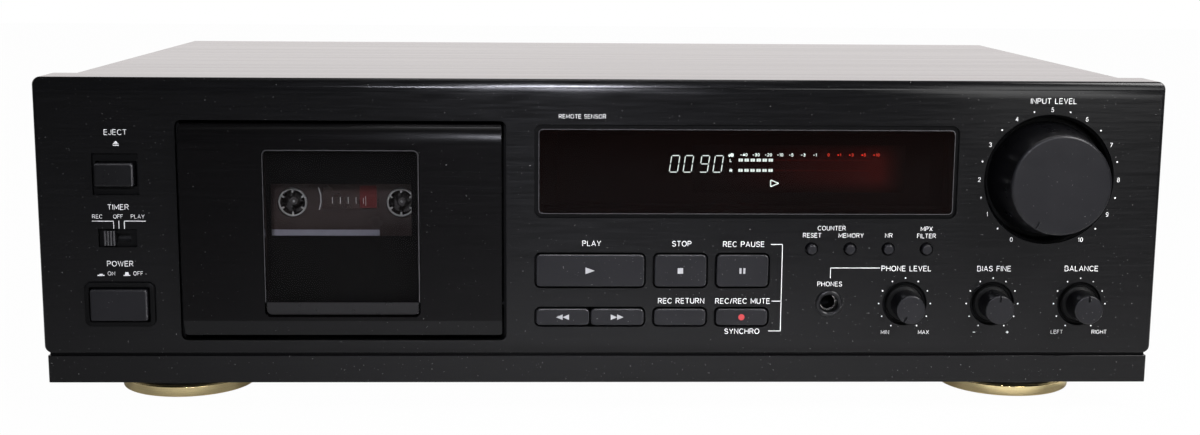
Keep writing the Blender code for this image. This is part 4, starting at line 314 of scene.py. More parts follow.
def soften(item, width):
    """Round the hard edges of an object."""
    soft = item.modifiers.new("edges", "BEVEL")
    soft.width = width
    soft.segments = 2
    soft.limit_method = "ANGLE"
    soft.angle_limit = math.radians(HARD_EDGE)
    return soft


def reface(item, pick, *looks):
    """Give some faces of a piece another look: pick turns centre and normal into a number."""
    for look in looks:
        item.data.materials.append(LOOKS[look])
    for side in item.data.polygons:
        side.material_index = pick(side.center, side.normal)


def edge_faces(front):
    """Picks the faces of a rounded front edge that look up or to the right, for a painted highlight."""
    return lambda centre, normal: int(front + 0.00002 < centre.y < front + 0.0009
                                      and max(normal.x, normal.z) > 0.3)


# Materials
def feed(tree, socket, value):
    """Set an input to a number or colour, or link it from a socket."""
    if isinstance(value, bpy.types.NodeSocket):
        tree.links.new(value, socket)
    else:
        socket.default_value = (*value, 1.0) if socket.type == "RGBA" else value


def add_node(tree, kind, inputs, **settings):
    """The outputs of a new node whose inputs are fed."""
    node = tree.nodes.new("ShaderNode" + kind)
    for name, value in settings.items():
        setattr(node, name, value)
    for key, value in inputs.items():
        feed(tree, node.inputs[key], value)
    return node.outputs


def calculate(tree, operation, first, second):
    """Result of a sum on two sockets or numbers."""
    return add_node(tree, "Math", {0: first, 1: second}, operation=operation)["Value"]


class Look:
    """A node-based material: a Principled shader with helpers that add detail to it."""

    def __init__(self, name, colour, roughness, metallic=0.0, specular=0.5, stretch=(1, 1, 1)):
        self.item = bpy.data.materials.new(name)
        self.item.use_nodes = True
        self.item.diffuse_color = (*colour, 1.0)
        self.tree = self.item.node_tree
        self.colour = colour
        self.roughness = roughness
        self.feed("Base Color", colour)
        self.feed("Roughness", roughness)
        self.feed("Metallic", metallic)
        self.feed("Specular IOR Level", specular)
        self.plain = add_node(self.tree, "TexCoord", {})["Object"]
        self.stretched = add_node(self.tree, "Mapping", {"Scale": stretch, "Vector": self.plain})["Vector"]

    def feed(self, name, value):
        """Set or link an input of the shader."""
        feed(self.tree, self.tree.nodes["Principled BSDF"].inputs[name], value)

    def noise(self, scale, detail=4.0, stretched=True, rough=0.55):
        """Noise texture output."""
        return add_node(self.tree, "TexNoise", {
            "Scale": scale, "Detail": detail, "Roughness": rough,
            "Vector": self.stretched if stretched else self.plain})["Fac"]

    def spread(self, value, low, high, start=0.25, end=0.75):
        """Map a value from one span to another."""
        return add_node(self.tree, "MapRange", {"From Min": start, "From Max": end, "To Min": low,
                                                "To Max": high, "Value": value})["Result"]

    def blend(self, value, first, second):
        """Mix two colours, or sockets, by a value."""
        return add_node(self.tree, "Mix", {"Factor": value, "A": first, "B": second},
                        data_type="RGBA")["Result"]

    def tint(self, scale, share, detail=4.0, stretched=True):
        """Vary the colour lightly round its own value."""
        low, high = [tuple(part * (1 + way * share) for part in self.colour) for way in (-1, 1)]
        result = self.blend(self.spread(self.noise(scale, detail, stretched), 0.0, 1.0), low, high)
        self.feed("Base Color", result)
        return result

    def gloss(self, scale, amount, detail=3.0):
        """Vary the roughness round its own value."""
        self.feed("Roughness", self.spread(self.noise(scale, detail), self.roughness - amount,
                                           self.roughness + amount))

    def bump(self, strength, distance, value):
        """Add relief from a value."""
        self.feed("Normal", add_node(self.tree, "Bump", {"Strength": strength, "Distance": distance,
                                                         "Height": value})["Normal"])

    def brushed_round(self, amount, turned):
        """Brush marks that run round the upright axis, which is along X on the front."""
        self.feed("Anisotropic", amount)
        self.feed("Anisotropic Rotation", turned)
        self.feed("Tangent", add_node(self.tree, "Tangent", {}, direction_type="RADIAL", axis="Z")["Tangent"])

    def dust(self, base, start):
        """A few fine specks of dust over a base colour."""
        value = self.noise(1500.0, 1.0, False, 0.3)
        self.feed("Base Color", self.blend(self.spread(value, 0.0, 1.0, start, start + 0.03), base,
                                           (0.16, 0.16, 0.155)))


# Key, material name, colour, roughness, metallic, specular level, tint, gloss, relief, and the rest.
# Tint and gloss give the scale of their noise and the share they vary by; relief gives its strength,
# its distance and its noise.
LOOK_TABLE = (
    ("face", "brushed_black_face", (0.0034, 0.0034, 0.0038), 0.18, 0.0, 0.25, (1.0, 0.3, 5.0), (1.0, 0.05, 5.0),
     (0.42, 0.00003, 1.0, 6.0, True, 0.7), {"stretch": (50, 1, 1050), "dust": 0.775, "brushed": (0.7, 0.25)}),
    ("door", "brushed_black_door", (0.0026, 0.0024, 0.0026), 0.21, 0.0, 0.115, (1.0, 0.3, 5.0),
     (1.0, 0.03, 5.0), (0.3, 0.00003, 1.0, 5.0),
     {"stretch": (30, 1, 1150), "dust": 0.8, "brushed": (0.6, 0.25)}),
    ("paint", "satin_black_paint", (0.026, 0.0165, 0.0155), 0.14, 0.0, 1.0, (30.0, 0.15, 4.0, False),
     (1.0, 0.025), (0.08, 0.00003, 1500.0, 2.0, False), {"stretch": (2, 130, 130), "dust": 0.775}),
    ("steel", "zinc_steel", (0.55, 0.55, 0.54), 0.38, 1.0, 0.5, (60.0, 0.12), (180.0, 0.09),
     (0.1, 0.00004, 800.0, 3.0), {}),
    ("plastic", "black_plastic", (0.013, 0.013, 0.014), 0.42, 0.0, 0.5, (90.0, 0.2), (200.0, 0.05),
     (0.22, 0.00003, 2600.0, 2.0), {}),
    # deep: near-black, the real black of the mask, bezel and frame, and painted shade on the walls and floors
    # of wells, holes and gaps
    ("deep", "black_and_painted_shade", (0.002, 0.002, 0.0021), 0.5, 0.0, 0.12, (90.0, 0.2), (),
     (0.2, 0.00003, 2600.0, 2.0), {}),
    ("button", "charcoal_buttons", (0.008, 0.0078, 0.0098), 0.34, 0.0, 0.31, (80.0, 0.12), (150.0, 0.05),
     (0.16, 0.00002, 3200.0, 2.0), {"dust": 0.775}),
    ("dark", "dark_buttons", (0.0034, 0.0034, 0.0042), 0.3, 0.0, 0.32, (80.0, 0.15), (150.0, 0.05),
     (0.14, 0.00002, 3200.0, 2.0), {"dust": 0.775}),
    # rim: light glossy grey, a painted highlight on pane edges and on the lit edges and ridges of some keys
    ("painted_glint", "pane_edge_highlight", (0.05, 0.049, 0.052), 0.22, 0.0, 1.0, (300.0, 0.25), (400.0, 0.05), (), {}),
    # edge: lighter grey, a painted highlight on the rounded key edges that face the lamps
    ("edge", "painted_button_edge_highlight", (0.022, 0.0215, 0.024), 0.26, 0.0, 0.7, (120.0, 0.12), (200.0, 0.04), (), {}),
    # bevel: lighter than the pane, a painted reflection on the window's sloped lower bevel
    ("bevel", "pane_bevel_painted_reflection", (0.009, 0.0086, 0.0095), 0.3, 0.0, 0.34, (120.0, 0.12), (200.0, 0.04), (), {}),
    ("dial", "charcoal_dial", (0.0066, 0.0065, 0.0084), 0.34, 0.0, 0.33, (60.0, 0.12), (150.0, 0.05),
     (0.16, 0.00002, 3200.0, 2.0), {"dust": 0.755}),
    ("gilt", "gilt_metal", (1.0, 0.81, 0.42), 0.17, 1.0, 0.5, (3.0, 0.1), (2.0, 0.04),
     (0.06, 0.00002, 2.0, 3.0), {"stretch": (1, 1, 700), "brushed": (0.6, 0.0)}),
    ("pane", "smoked_window", (0.003, 0.0024, 0.0023), 0.06, 0.0, 0.12, (40.0, 0.2), (60.0, 0.015), (),
     {"alpha": 0.25}),
    ("lens", "display_lens", (0.0032, 0.0011, 0.0009), 0.06, 0.0, 0.13, (40.0, 0.2), (60.0, 0.015), (),
     {"alpha": 0.62}),
    ("shell", "cassette_smoke", (0.086, 0.064, 0.061), 0.24, 0.0, 0.5, (50.0, 0.2), (120.0, 0.05),
     (0.06, 0.00003, 1400.0, 2.0), {}),
    ("insert", "cassette_window", (0.125, 0.09, 0.084), 0.1, 0.0, 0.5, (50.0, 0.2), (90.0, 0.03), (),
     {"alpha": 0.8}),
    ("tape", "brown_tape_pack", (0.075, 0.04, 0.026), 0.25, 0.0, 0.5, (60.0, 0.15), (300.0, 0.06),
     (0.1, 0.00002, 2500.0, 2.0), {}),
    ("white", "white_acetal", (0.8, 0.8, 0.78), 0.3, 0.0, 0.5, (70.0, 0.06), (200.0, 0.05),
     (0.06, 0.00002, 1800.0, 2.0), {}),
    ("ink", "pale_print", (0.92, 0.92, 0.91), 0.5, 0.0, 0.5, (500.0, 0.08), (400.0, 0.05), (), {}),
    ("dull", "grey_print", (0.46, 0.46, 0.47), 0.5, 0.0, 0.5, (500.0, 0.08), (400.0, 0.05), (), {}),
    ("red", "red_print", (0.52, 0.045, 0.05), 0.45, 0.0, 0.5, (500.0, 0.08), (400.0, 0.05), (), {}),
    ("label", "label_paper", (0.5, 0.49, 0.58), 0.6, 0.0, 0.5, (300.0, 0.07), (),
     (0.15, 0.00003, 1500.0, 3.0), {}),
    ("stain", "red_marking", (0.2, 0.02, 0.02), 0.4, 0.0, 0.5, (300.0, 0.12), (400.0, 0.05), (), {}),
    ("foot", "foot_plastic", (0.05, 0.048, 0.05), 0.45, 0.0, 0.5, (90.0, 0.15), (200.0, 0.05),
     (0.2, 0.00003, 2600.0, 2.0), {}),
    ("cone", "spindle_grey", (0.17, 0.16, 0.155), 0.4, 0.0, 0.5, (90.0, 0.12), (200.0, 0.05),
     (0.1, 0.00002, 2600.0, 2.0), {}),
    ("rubber", "black_rubber", (0.016, 0.016, 0.016), 0.75, 0.0, 0.5, (120.0, 0.2), (),
     (0.3, 0.00005, 1500.0, 3.0), {}),
    ("brass", "turned_brass", (0.62, 0.44, 0.19), 0.28, 1.0, 0.5, (40.0, 0.1), (200.0, 0.06), (), {}),
    ("jack_red", "jack_red", (0.4, 0.02, 0.02), 0.45, 0.0, 0.5, (200.0, 0.1), (),
     (0.08, 0.00002, 1800.0, 2.0), {}),
    ("nickel", "nickel_plate", (0.62, 0.6, 0.57), 0.2, 1.0, 0.5, (200.0, 0.06), (300.0, 0.06), (), {}),
    ("tube", "tube_glass", (0.006, 0.004, 0.004), 0.12, 0.0, 0.5, (60.0, 0.3), (300.0, 0.04), (), {}),
)
# Lit segments, and unlit ones with a faint painted glow: name, colour, strength
GLOWING = (("lit_white", (0.9, 1.0, 0.95), 6.5), ("lit_red", (1.0, 0.07, 0.04), 3.4),
           ("unlit_red_painted_glow", (0.35, 0.01, 0.008), 0.16))
# Painted red glow on the tube, standing in for light spilling from the red figures: axis, and the places
# between which it grows or fades
RED_GLOW_SPREAD = (("X", 0.04, 0.107, 0.0, 1.0), ("X", 0.1085, 0.1185, 1.0, 0.0),
        ("Z", 0.0862, 0.0925, 0.0, 1.0), ("Z", 0.1, 0.106, 1.0, 0.0))


def make_looks():
    """All the materials of the deck."""
    looks = {}
    for key, name, colour, roughness, metallic, specular, tint, gloss, relief, more in LOOK_TABLE:
        look = Look(name, colour, roughness, metallic, specular, more.get("stretch", (1, 1, 1)))
        base = look.tint(*tint)
        if "dust" in more:
            look.dust(base, more["dust"])
        if gloss:
            look.gloss(*gloss)
        if relief:
            strength, distance, *noise = relief
            look.bump(strength, distance, look.noise(*noise))
        if "brushed" in more:
            look.brushed_round(*more["brushed"])
        look.feed("Alpha", more.get("alpha", 1.0))
        looks[key] = look.item

    board = Look("board_resin", (0.03, 0.14, 0.05), 0.4)
    lines = board.noise(260.0, 2.0)
    board.feed("Base Color", board.blend(board.spread(lines, 0.0, 1.0, 0.49, 0.52), (0.02, 0.11, 0.035),
                                         (0.05, 0.2, 0.07)))
    board.bump(0.15, 0.00004, lines)
    looks["board"] = board.item

    for name, colour, strength in GLOWING:
        look = Look(name, colour, 0.4)
        look.feed("Emission Strength", strength)
        value = look.spread(look.noise(900.0, 2.0), 0.0, 1.0)
        look.feed("Emission Color", look.blend(value, tuple(part * 0.88 for part in colour), colour))
        looks[name] = look.item

    glow = Look("red_glow", (0.004, 0.002, 0.002), 0.3)
    split = add_node(glow.tree, "SeparateXYZ", {"Vector": glow.plain})
    rise, fall, lift, drop = [glow.spread(split[axis], low, high, start, end)
                              for axis, start, end, low, high in RED_GLOW_SPREAD]
    value = calculate(glow.tree, "POWER", calculate(glow.tree, "MULTIPLY", rise, fall), 1.6)
    for share in (lift, drop, glow.spread(glow.noise(30.0, 2.0), 0.8, 1.1)):
        value = calculate(glow.tree, "MULTIPLY", value, share)
    glow.feed("Emission Color", glow.blend(value, (0.0, 0.0, 0.0), (0.16, 0.012, 0.01)))
    glow.feed("Emission Strength", 1.0)
    looks["glow"] = glow.item
    return looks


LOOKS = make_looks()


# Front panel: each key's node, width and height, and each small knob's node and pointer angle
KEYS = (
    ("play_button", 0.042, 0.0127), ("stop_button", 0.0202, 0.0127), ("pause_button", 0.0202, 0.0127),
    ("rewind_button", 0.02075, 0.0066), ("forward_button", 0.02075, 0.0066),
    ("return_button", 0.0202, 0.0066), ("record_button", 0.0202, 0.0066),
)
ROUND_KEYS = ("counter_reset_button", "counter_memory_button", "noise_reduction_button", "filter_button")
SMALL_KNOBS = (("phone_level_knob", 240), ("bias_knob", 90), ("balance_knob", 90))
KEY_CLEARANCE = 0.00075
KEY_CORNER = 0.0018
PRINT_RISE = 0.00003
PANEL_LOW, PANEL_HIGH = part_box("front_panel")
FRONT_Y, TRAY_BACK = PANEL_LOW.y, PANEL_HIGH.y
PANEL_BOTTOM, PANEL_TOP = PANEL_LOW.z, PANEL_HIGH.z
HALF_WIDTH = PANEL_HIGH.x
PANEL_WALL = 0.0022
PLATE_BACK = FRONT_Y + 0.003
UPPER_CROWN = (0.002, 0.007)
LOWER_CROWN = (0.0016, 0.006)
DIAL = middle("input_level_dial")
DIAL_FLOOR = FRONT_Y + 0.008
DIAL_ANGLE = 240
DISPLAY = middle("display_window")
DISPLAY_POCKET = (0.1642, 0.0363)
COLUMN_X = middle("power_button_frame").x
POWER_Z = middle("power_button_frame").z
TIMER_Z = middle("timer_knob").z
EJECT_Z = middle("eject_button").z
DOOR_LOW, DOOR_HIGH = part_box("cassette_door")
DOOR_THICKNESS = 0.006
WELL_LOW = (DOOR_LOW.x - 0.0017, DOOR_LOW.z - 0.0023)
WELL_HIGH = (DOOR_HIGH.x + 0.0017, DOOR_HIGH.z + 0.0012)
JACK = middle("phones_jack")


def build_panel():
    """Front panel with its wells, pockets and holes at full roundness."""
    fascia = Form().soft_plate(0.0, (PANEL_TOP + PANEL_BOTTOM) / 2, 2 * HALF_WIDTH, PANEL_TOP - PANEL_BOTTOM,
                               0.003, FRONT_Y, TRAY_BACK, 0.002, 6)
    plane, spare = FRONT_Y - 0.000002, 0.001
    profile = [(TRAY_BACK + spare, PANEL_TOP + spare), (TRAY_BACK + spare, PANEL_BOTTOM - spare),
               (FRONT_Y + 0.0017, PANEL_BOTTOM - spare)]
    deep, tall = LOWER_CROWN
    profile += oval(plane + deep, PANEL_BOTTOM + tall, deep, tall, 265, 180, 17)
    deep, tall = UPPER_CROWN
    profile += oval(plane + deep, PANEL_TOP - tall, deep, tall, 180, 95, 17)
    profile.append((FRONT_Y + 0.0021, PANEL_TOP + spare))
    fascia.combine(Form().beam(profile, -HALF_WIDTH - spare, HALF_WIDTH + spare), "INTERSECT")
    fascia.cut(Form().block((-HALF_WIDTH + PANEL_WALL, PLATE_BACK, PANEL_BOTTOM + PANEL_WALL),
                            (HALF_WIDTH - PANEL_WALL, TRAY_BACK + 0.002, PANEL_TOP - PANEL_WALL)))
    fascia.join(Form().rod(DIAL.x, DIAL.z, 0.0264, PLATE_BACK - 0.0015, DIAL_FLOOR + 0.0012))

    front, back = FRONT_Y - 0.002, PLATE_BACK + 0.002
    width, tall = DISPLAY_POCKET
    pockets = (Form().plate(DISPLAY.x, DISPLAY.z, width, tall, 0.003, front, FRONT_Y + 0.0015)
               .plate(COLUMN_X, TIMER_Z, 0.0148, 0.0071, 0.0003, front, FRONT_Y + 0.002)
               .plate(COLUMN_X, EJECT_Z, 0.0177, 0.0161, 0.0003, front, FRONT_Y + 0.002))
    wells = [(DIAL, 0.0254, 0.025, 0.0004, DIAL_FLOOR, ROUND_STEPS)]
    wells += [(middle(node), 0.00875, 0.0085, 0.00025, FRONT_Y + 0.002, SMALL_STEPS) for node, _ in SMALL_KNOBS]
    for place, mouth, radius, lip, floor, steps in wells:
        pockets.lathe(place.x, place.z, [(0.0, front), (mouth, front), (mouth, FRONT_Y),
                                         (radius, FRONT_Y + lip), (radius, floor), (0.0, floor)], steps)
    fascia.cut(pockets)

    grown, corner = 2 * KEY_CLEARANCE, KEY_CORNER + KEY_CLEARANCE
    plates = [((WELL_LOW[0] + WELL_HIGH[0]) / 2, (WELL_LOW[1] + WELL_HIGH[1]) / 2,
               WELL_HIGH[0] - WELL_LOW[0], WELL_HIGH[1] - WELL_LOW[1], 0.0025),
              (DISPLAY.x, DISPLAY.z, width - 0.0072, tall - 0.0072, 0.0006)]
    for node, wide, high in KEYS[:3] + KEYS[5:]:
        plates.append((middle(node).x, middle(node).z, wide + grown, high + grown, corner))
    plates.append((middle("play_button").x, middle("rewind_button").z, KEYS[0][1] + grown, KEYS[3][2] + grown,
                   corner))
    rods = [(middle(node), 0.00265, back, 40) for node in ROUND_KEYS]
    rods += [(middle(node), 0.0026, back, 32) for node, _ in SMALL_KNOBS]
    rods += [(DIAL, 0.0036, DIAL_FLOOR + 0.004, 32), (JACK, 0.0047, back, 48)]
    holes = Form()
    for plate in plates:
        holes.plate(*plate, front, back)
    for place, radius, end, steps in rods:
        holes.rod(place.x, place.z, radius, front, end, steps)
    holes.plate(COLUMN_X, POWER_Z, 0.0256, 0.016, 0.0024, front, back)
    holes.plate(COLUMN_X, TIMER_Z, 0.0091, 0.003, 0.0002, front, back)
    holes.plate(COLUMN_X, EJECT_Z, 0.0156, 0.0098, 0.0002, front, back)
    panel = fascia.cut(holes).piece("fascia", "face", "chassis", "brushed_black", "front_panel", bevel=0.00014)

    def pick(centre, normal):
        """Satin paint on the top strip, and near-black painted shade on the walls and floors inside the wells
        and holes.
        """
        if centre.z > PANEL_TOP - 0.0001 and normal.z > 0.95:
            return 1
        inside = (abs(centre.x) < HALF_WIDTH - 0.004
                  and PANEL_BOTTOM + 0.0035 < centre.z < PANEL_TOP - 0.009)
        return 2 if inside and centre.y > FRONT_Y + 0.0003 else 0

    reface(panel, pick, "paint", "deep")

    # Near-black liner: painted shade on the wall and floor of the dial's well
    wall, turn = 0.0243, DIAL_FLOOR - 0.0011
    profile = [(wall + 0.00065, FRONT_Y + 0.0006), (wall, FRONT_Y + 0.0012), (wall, turn)]
    profile += arc(wall - 0.001, turn, 0.001, 0, 90, 6)
    profile += [(0.005, DIAL_FLOOR - 0.0001), (0.005, DIAL_FLOOR - 0.00004),
                (wall + 0.00065, DIAL_FLOOR - 0.00004)]
    Form().lathe(DIAL.x, DIAL.z, profile, closed=True).piece("dial_well_shade_liner", "deep")


def build_skirt():
    """Lower strip below the panel, and a near-black block of painted shade that closes the groove above it."""
    low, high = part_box("front_skirt")
    edge = 0.0008
    points = arc(high.x - edge, low.y + edge, edge, -90, 0, 6)
    points += [(high.x, high.y), (high.x - PANEL_WALL, high.y), (high.x - PANEL_WALL, low.y + PANEL_WALL)]
    path = points + [(-x, y) for x, y in reversed(points)]
    strip = Form().loft([[(x, y, level) for x, y in path] for level in (low.z, high.z)])
    strip.piece("skirt_strip", "face", "chassis", "brushed_black", "front_skirt", bevel=0.0002)
    # Near-black block: painted shade inside the groove
    Form().block((-high.x + 0.0006, low.y + 0.0016, high.z + 0.00002),
                 (high.x - 0.0006, high.y - 0.0002, PANEL_BOTTOM - 0.00002)).piece("groove_shade_strip", "deep")


# Controls
def build_keys():
    """Transport buttons and the four round ones."""
    flange_front, flange_back, stem = PLATE_BACK + 0.0004, PLATE_BACK + 0.0014, 0.0015
    for node, width, height in KEYS:
        front, back = depths(node)
        key = middle(node)
        item = (Form().soft_plate(key.x, key.z, width, height, KEY_CORNER, front, PLATE_BACK + 0.0012, 0.00055)
                .plate(key.x, key.z, width + 0.0016, height + 0.0016, KEY_CORNER, flange_front, flange_back)
                .rod(key.x, key.z, stem, PLATE_BACK, back, 24)
                .piece(node.replace("_button", "_key"), "button", node, "button_plastic", node))
        edge = edge_faces(front)
        # Painted shade: the key's sides behind its front edge take the near-black look; painted highlight on
        # the edge faces that look up or right
        reface(item, lambda centre, normal: 1 if centre.y > front + 0.0009 else 2 * edge(centre, normal),
               "deep", "edge")
    for node in ROUND_KEYS:
        front, back = depths(node)
        profile = [(0.0, front)] + arc(0.0013, front + 0.00075, 0.00075, -90, 0, 6)
        profile += [(0.00205, PLATE_BACK + 0.0003), (0.0032, PLATE_BACK + 0.0003), (0.0032, flange_back),
                    (stem, flange_back), (stem, back), (0.0, back)]
        form = Form().lathe(middle(node).x, middle(node).z, profile, 48)
        form.piece(node.replace("_button", "_key"), "button", node, "button_plastic", node)


def arrow(x, reach, half_tall):
    """Outline of a triangle that points right, or left with a negative reach."""
    return [(x - reach, half_tall), (x - reach, -half_tall), (x + reach, 0.0)]


def bar(x, half_wide, half_tall):
    """Outline of an upright bar."""
    return [(x - half_wide, -half_tall), (x + half_wide, -half_tall), (x + half_wide, half_tall),
            (x - half_wide, half_tall)]


SYMBOLS = {
    "play_button": [arrow(0.0, 0.0018, 0.0013)], "stop_button": [bar(0.0, 0.00105, 0.0011)],
    "pause_button": [bar(x, 0.0004, 0.0011) for x in (-0.00075, 0.00075)],
    "rewind_button": [arrow(x, -0.00125, 0.0011) for x in (-0.00125, 0.00125)],
    "forward_button": [arrow(x, 0.00125, 0.0011) for x in (-0.00125, 0.00125)],
}


def build_key_symbols():
    """Printed transport symbols."""
    front = depths("play_button")[0] - PRINT_RISE
    for node, outlines in SYMBOLS.items():
        key = middle(node)
        form = Print(front, front + 2 * PRINT_RISE)
        for points in outlines:
            form.fill([(key.x + x, key.z + z) for x, z in points])
        form.piece(node.replace("_button", "_symbol"), "dull", node, "white_plastic")
    key = middle("record_button")
    form = Print(front, front + 2 * PRINT_RISE).dot(key.x, key.z, 0.00122, 40)
    form.piece("record_symbol", "red", "record_button", "white_plastic")


def notch(place, degrees, outer, length, front, width=0.0009, depth=0.0006):
    """A straight groove that runs inwards from a knob's rim."""
    turn = Matrix.Translation((place.x, 0.0, place.z)) @ Matrix.Rotation(-math.radians(degrees), 4, "Y")
    return Form().block((outer - length, front - 0.002, -width / 2),
                        (outer + 0.003, front + depth, width / 2)).moved(turn)


def build_knobs():
    """Large dial and three small knobs, with their pointer grooves."""
    front, back = depths("input_level_dial")
    face, edge, base = 0.0193, 0.0012, DIAL_FLOOR - 0.0016
    profile = [(0.0, front)] + arc(face - edge, front + edge, edge, -90, 0, 8)
    profile += [(0.0222, base - 0.0005), (0.0222, base), (0.003, base), (0.003, back), (0.0, back)]
    dial = (Form().lathe(DIAL.x, DIAL.z, profile, 128).cut(notch(DIAL, DIAL_ANGLE, face, 0.0032, front))
            .piece("level_dial", "dial", "input_level_dial", "button_plastic", "input_level_dial"))
    # Painted shade: the dial's side takes the darker look and its flange the near-black one
    reface(dial, lambda centre, normal: 2 if centre.y > base - 0.0012 else int(centre.y > front + 0.001),
           "dark", "deep")
    cap, edge, top, floor = 0.0056, 0.0006, FRONT_Y - 0.0005, FRONT_Y + 0.0017
    for node, degrees in SMALL_KNOBS:
        front, back = depths(node)
        knob = middle(node)
        profile = [(0.0, front)] + arc(cap - edge, front + edge, edge, -90, 0, 5)
        profile += [(cap, top - 0.0006), (cap + 0.0004, top - 0.0001), (0.0069, top + 0.0002), (0.0072, top),
                    (0.0075, top + 0.0004), (0.0075, floor), (0.002, floor), (0.002, back), (0.0, back)]
        control = (Form().lathe(knob.x, knob.z, profile, SMALL_STEPS)
                   .cut(notch(knob, degrees, cap, 0.0024, front, 0.0008, 0.001))
                   .piece(node.replace("_knob", "_control"), "dial", node, "button_plastic", node))
        # Painted shade: each knob's side takes the darker look and its flange ring the near-black one
        reface(control, lambda centre, normal: 2 if centre.y > top - 0.0012 else int(centre.y > front + 0.002),
               "dark", "deep")


def build_left_controls():
    """Eject, timer and power controls."""
    front, back = depths("eject_button")
    key = (Form().soft_plate(COLUMN_X, EJECT_Z, 0.0148, 0.009, 0.001, front, PLATE_BACK + 0.0014, 0.0009)
           .plate(COLUMN_X, EJECT_Z, 0.0134, 0.0122, 0.0003, PLATE_BACK + 0.0004, PLATE_BACK + 0.0013)
           .plate(COLUMN_X, EJECT_Z, 0.0024, 0.0024, 0.0002, PLATE_BACK, back)
           .piece("eject_key", "dark", "eject_button", "button_plastic", "eject_button"))
    # Painted highlight: the rounded edge faces that look up or right take the light glossy rim look
    reface(key, edge_faces(front), "painted_glint")

    front, back = depths("timer_knob")
    x = middle("timer_knob").x
    knob = Form().plate(x, TIMER_Z, 0.0045, 0.0059, 0.0002, front + 0.0005, FRONT_Y + 0.0016)
    for place in (-1.5, -0.5, 0.5, 1.5):
        knob.soft_plate(x + place * 0.00115, TIMER_Z, 0.0007, 0.0058, 0.0002, front, front + 0.0008, 0.00025)
    knob.plate(x, TIMER_Z, 0.0024, 0.0024, 0.0002, FRONT_Y + 0.001, back)
    # Painted highlight: the front faces of the ridges take the light glossy rim look
    reface(knob.piece("timer_slider", "dark", "timer_knob", "button_plastic", "timer_knob"),
           lambda centre, normal: int(centre.y < front + 0.0004), "painted_glint")

    front, back = depths("power_button_frame")
    seat = FRONT_Y - 0.0003
    sections = [(0.027, 0.0174, 0.0025, seat), (0.027, 0.0174, 0.0025, front + 0.0004),
                (0.0268, 0.0172, 0.0024, front + 0.0001), (0.0264, 0.0168, 0.0022, front),
                (0.0236, 0.014, 0.0006, front), (0.0231, 0.0135, 0.0004, front + 0.0002),
                (0.023, 0.0134, 0.0003, front + 0.0005), (0.023, 0.0134, 0.0003, back),
                (0.025, 0.0154, 0.0022, back), (0.025, 0.0154, 0.0022, seat)]
    Form().slab(COLUMN_X, POWER_Z, sections, True).piece("power_bezel", "deep", replaced="power_button_frame")

    front, back = depths("power_button")
    key = (Form().soft_plate(COLUMN_X, POWER_Z, 0.022, 0.0124, 0.001, front, FRONT_Y + 0.0135, 0.0009)
           .plate(COLUMN_X, POWER_Z, 0.0242, 0.0114, 0.0003, FRONT_Y + 0.0123, FRONT_Y + 0.0133)
           .plate(COLUMN_X, POWER_Z, 0.004, 0.004, 0.0002, FRONT_Y + 0.013, back)
           .piece("power_key", "button", "power_button", "button_plastic", "power_button"))
    # Painted highlight: the rounded edge faces that look up or right take the lighter edge look
    reface(key, edge_faces(front), "edge")


def build_jack():
    """Headphone jack with its turned front ring."""
    front, back = depths("phones_jack")
    seat, plate, end = FRONT_Y - 0.0001, PLATE_BACK + 0.0003, FRONT_Y + 0.0135
    profile = [(0.0, end), (0.0033, end), (0.0033, front + 0.0011), (0.0035, front + 0.0006),
               (0.0039, front + 0.0002), (0.0043, front), (0.0047, front), (0.0051, front + 0.0002),
               (0.0053, front + 0.0005), (0.0053, seat), (0.0044, seat), (0.0044, plate), (0.0063, plate),
               (0.0063, back), (0.0, back)]
    ring = (Form().lathe(JACK.x, JACK.z, profile, SMALL_STEPS)
            .piece("phones_socket_ring", "dark", replaced="phones_jack"))
    # Painted shade: the bore of the ring takes the near-black look
    reface(ring, lambda centre, normal: int(centre.y > front + 0.0011), "deep")
    (Form().tube(JACK.x, JACK.z, 0.0029, 0.00325, FRONT_Y + 0.004, FRONT_Y + 0.0048, 48)
     .piece("phones_contact", "nickel", slot="zinc_steel"))


# Tape door
def pane_rim(x, z, width, height, radius, front):
    """Painted highlight: a thin light line round the edge of a pane."""
    inside, outside = front + 0.0002, front - 0.00002
    return Form().band(x, z, width, height, radius,
                       ((0.0, inside), (0.0001, outside), (0.00035, outside), (0.00035, inside)))


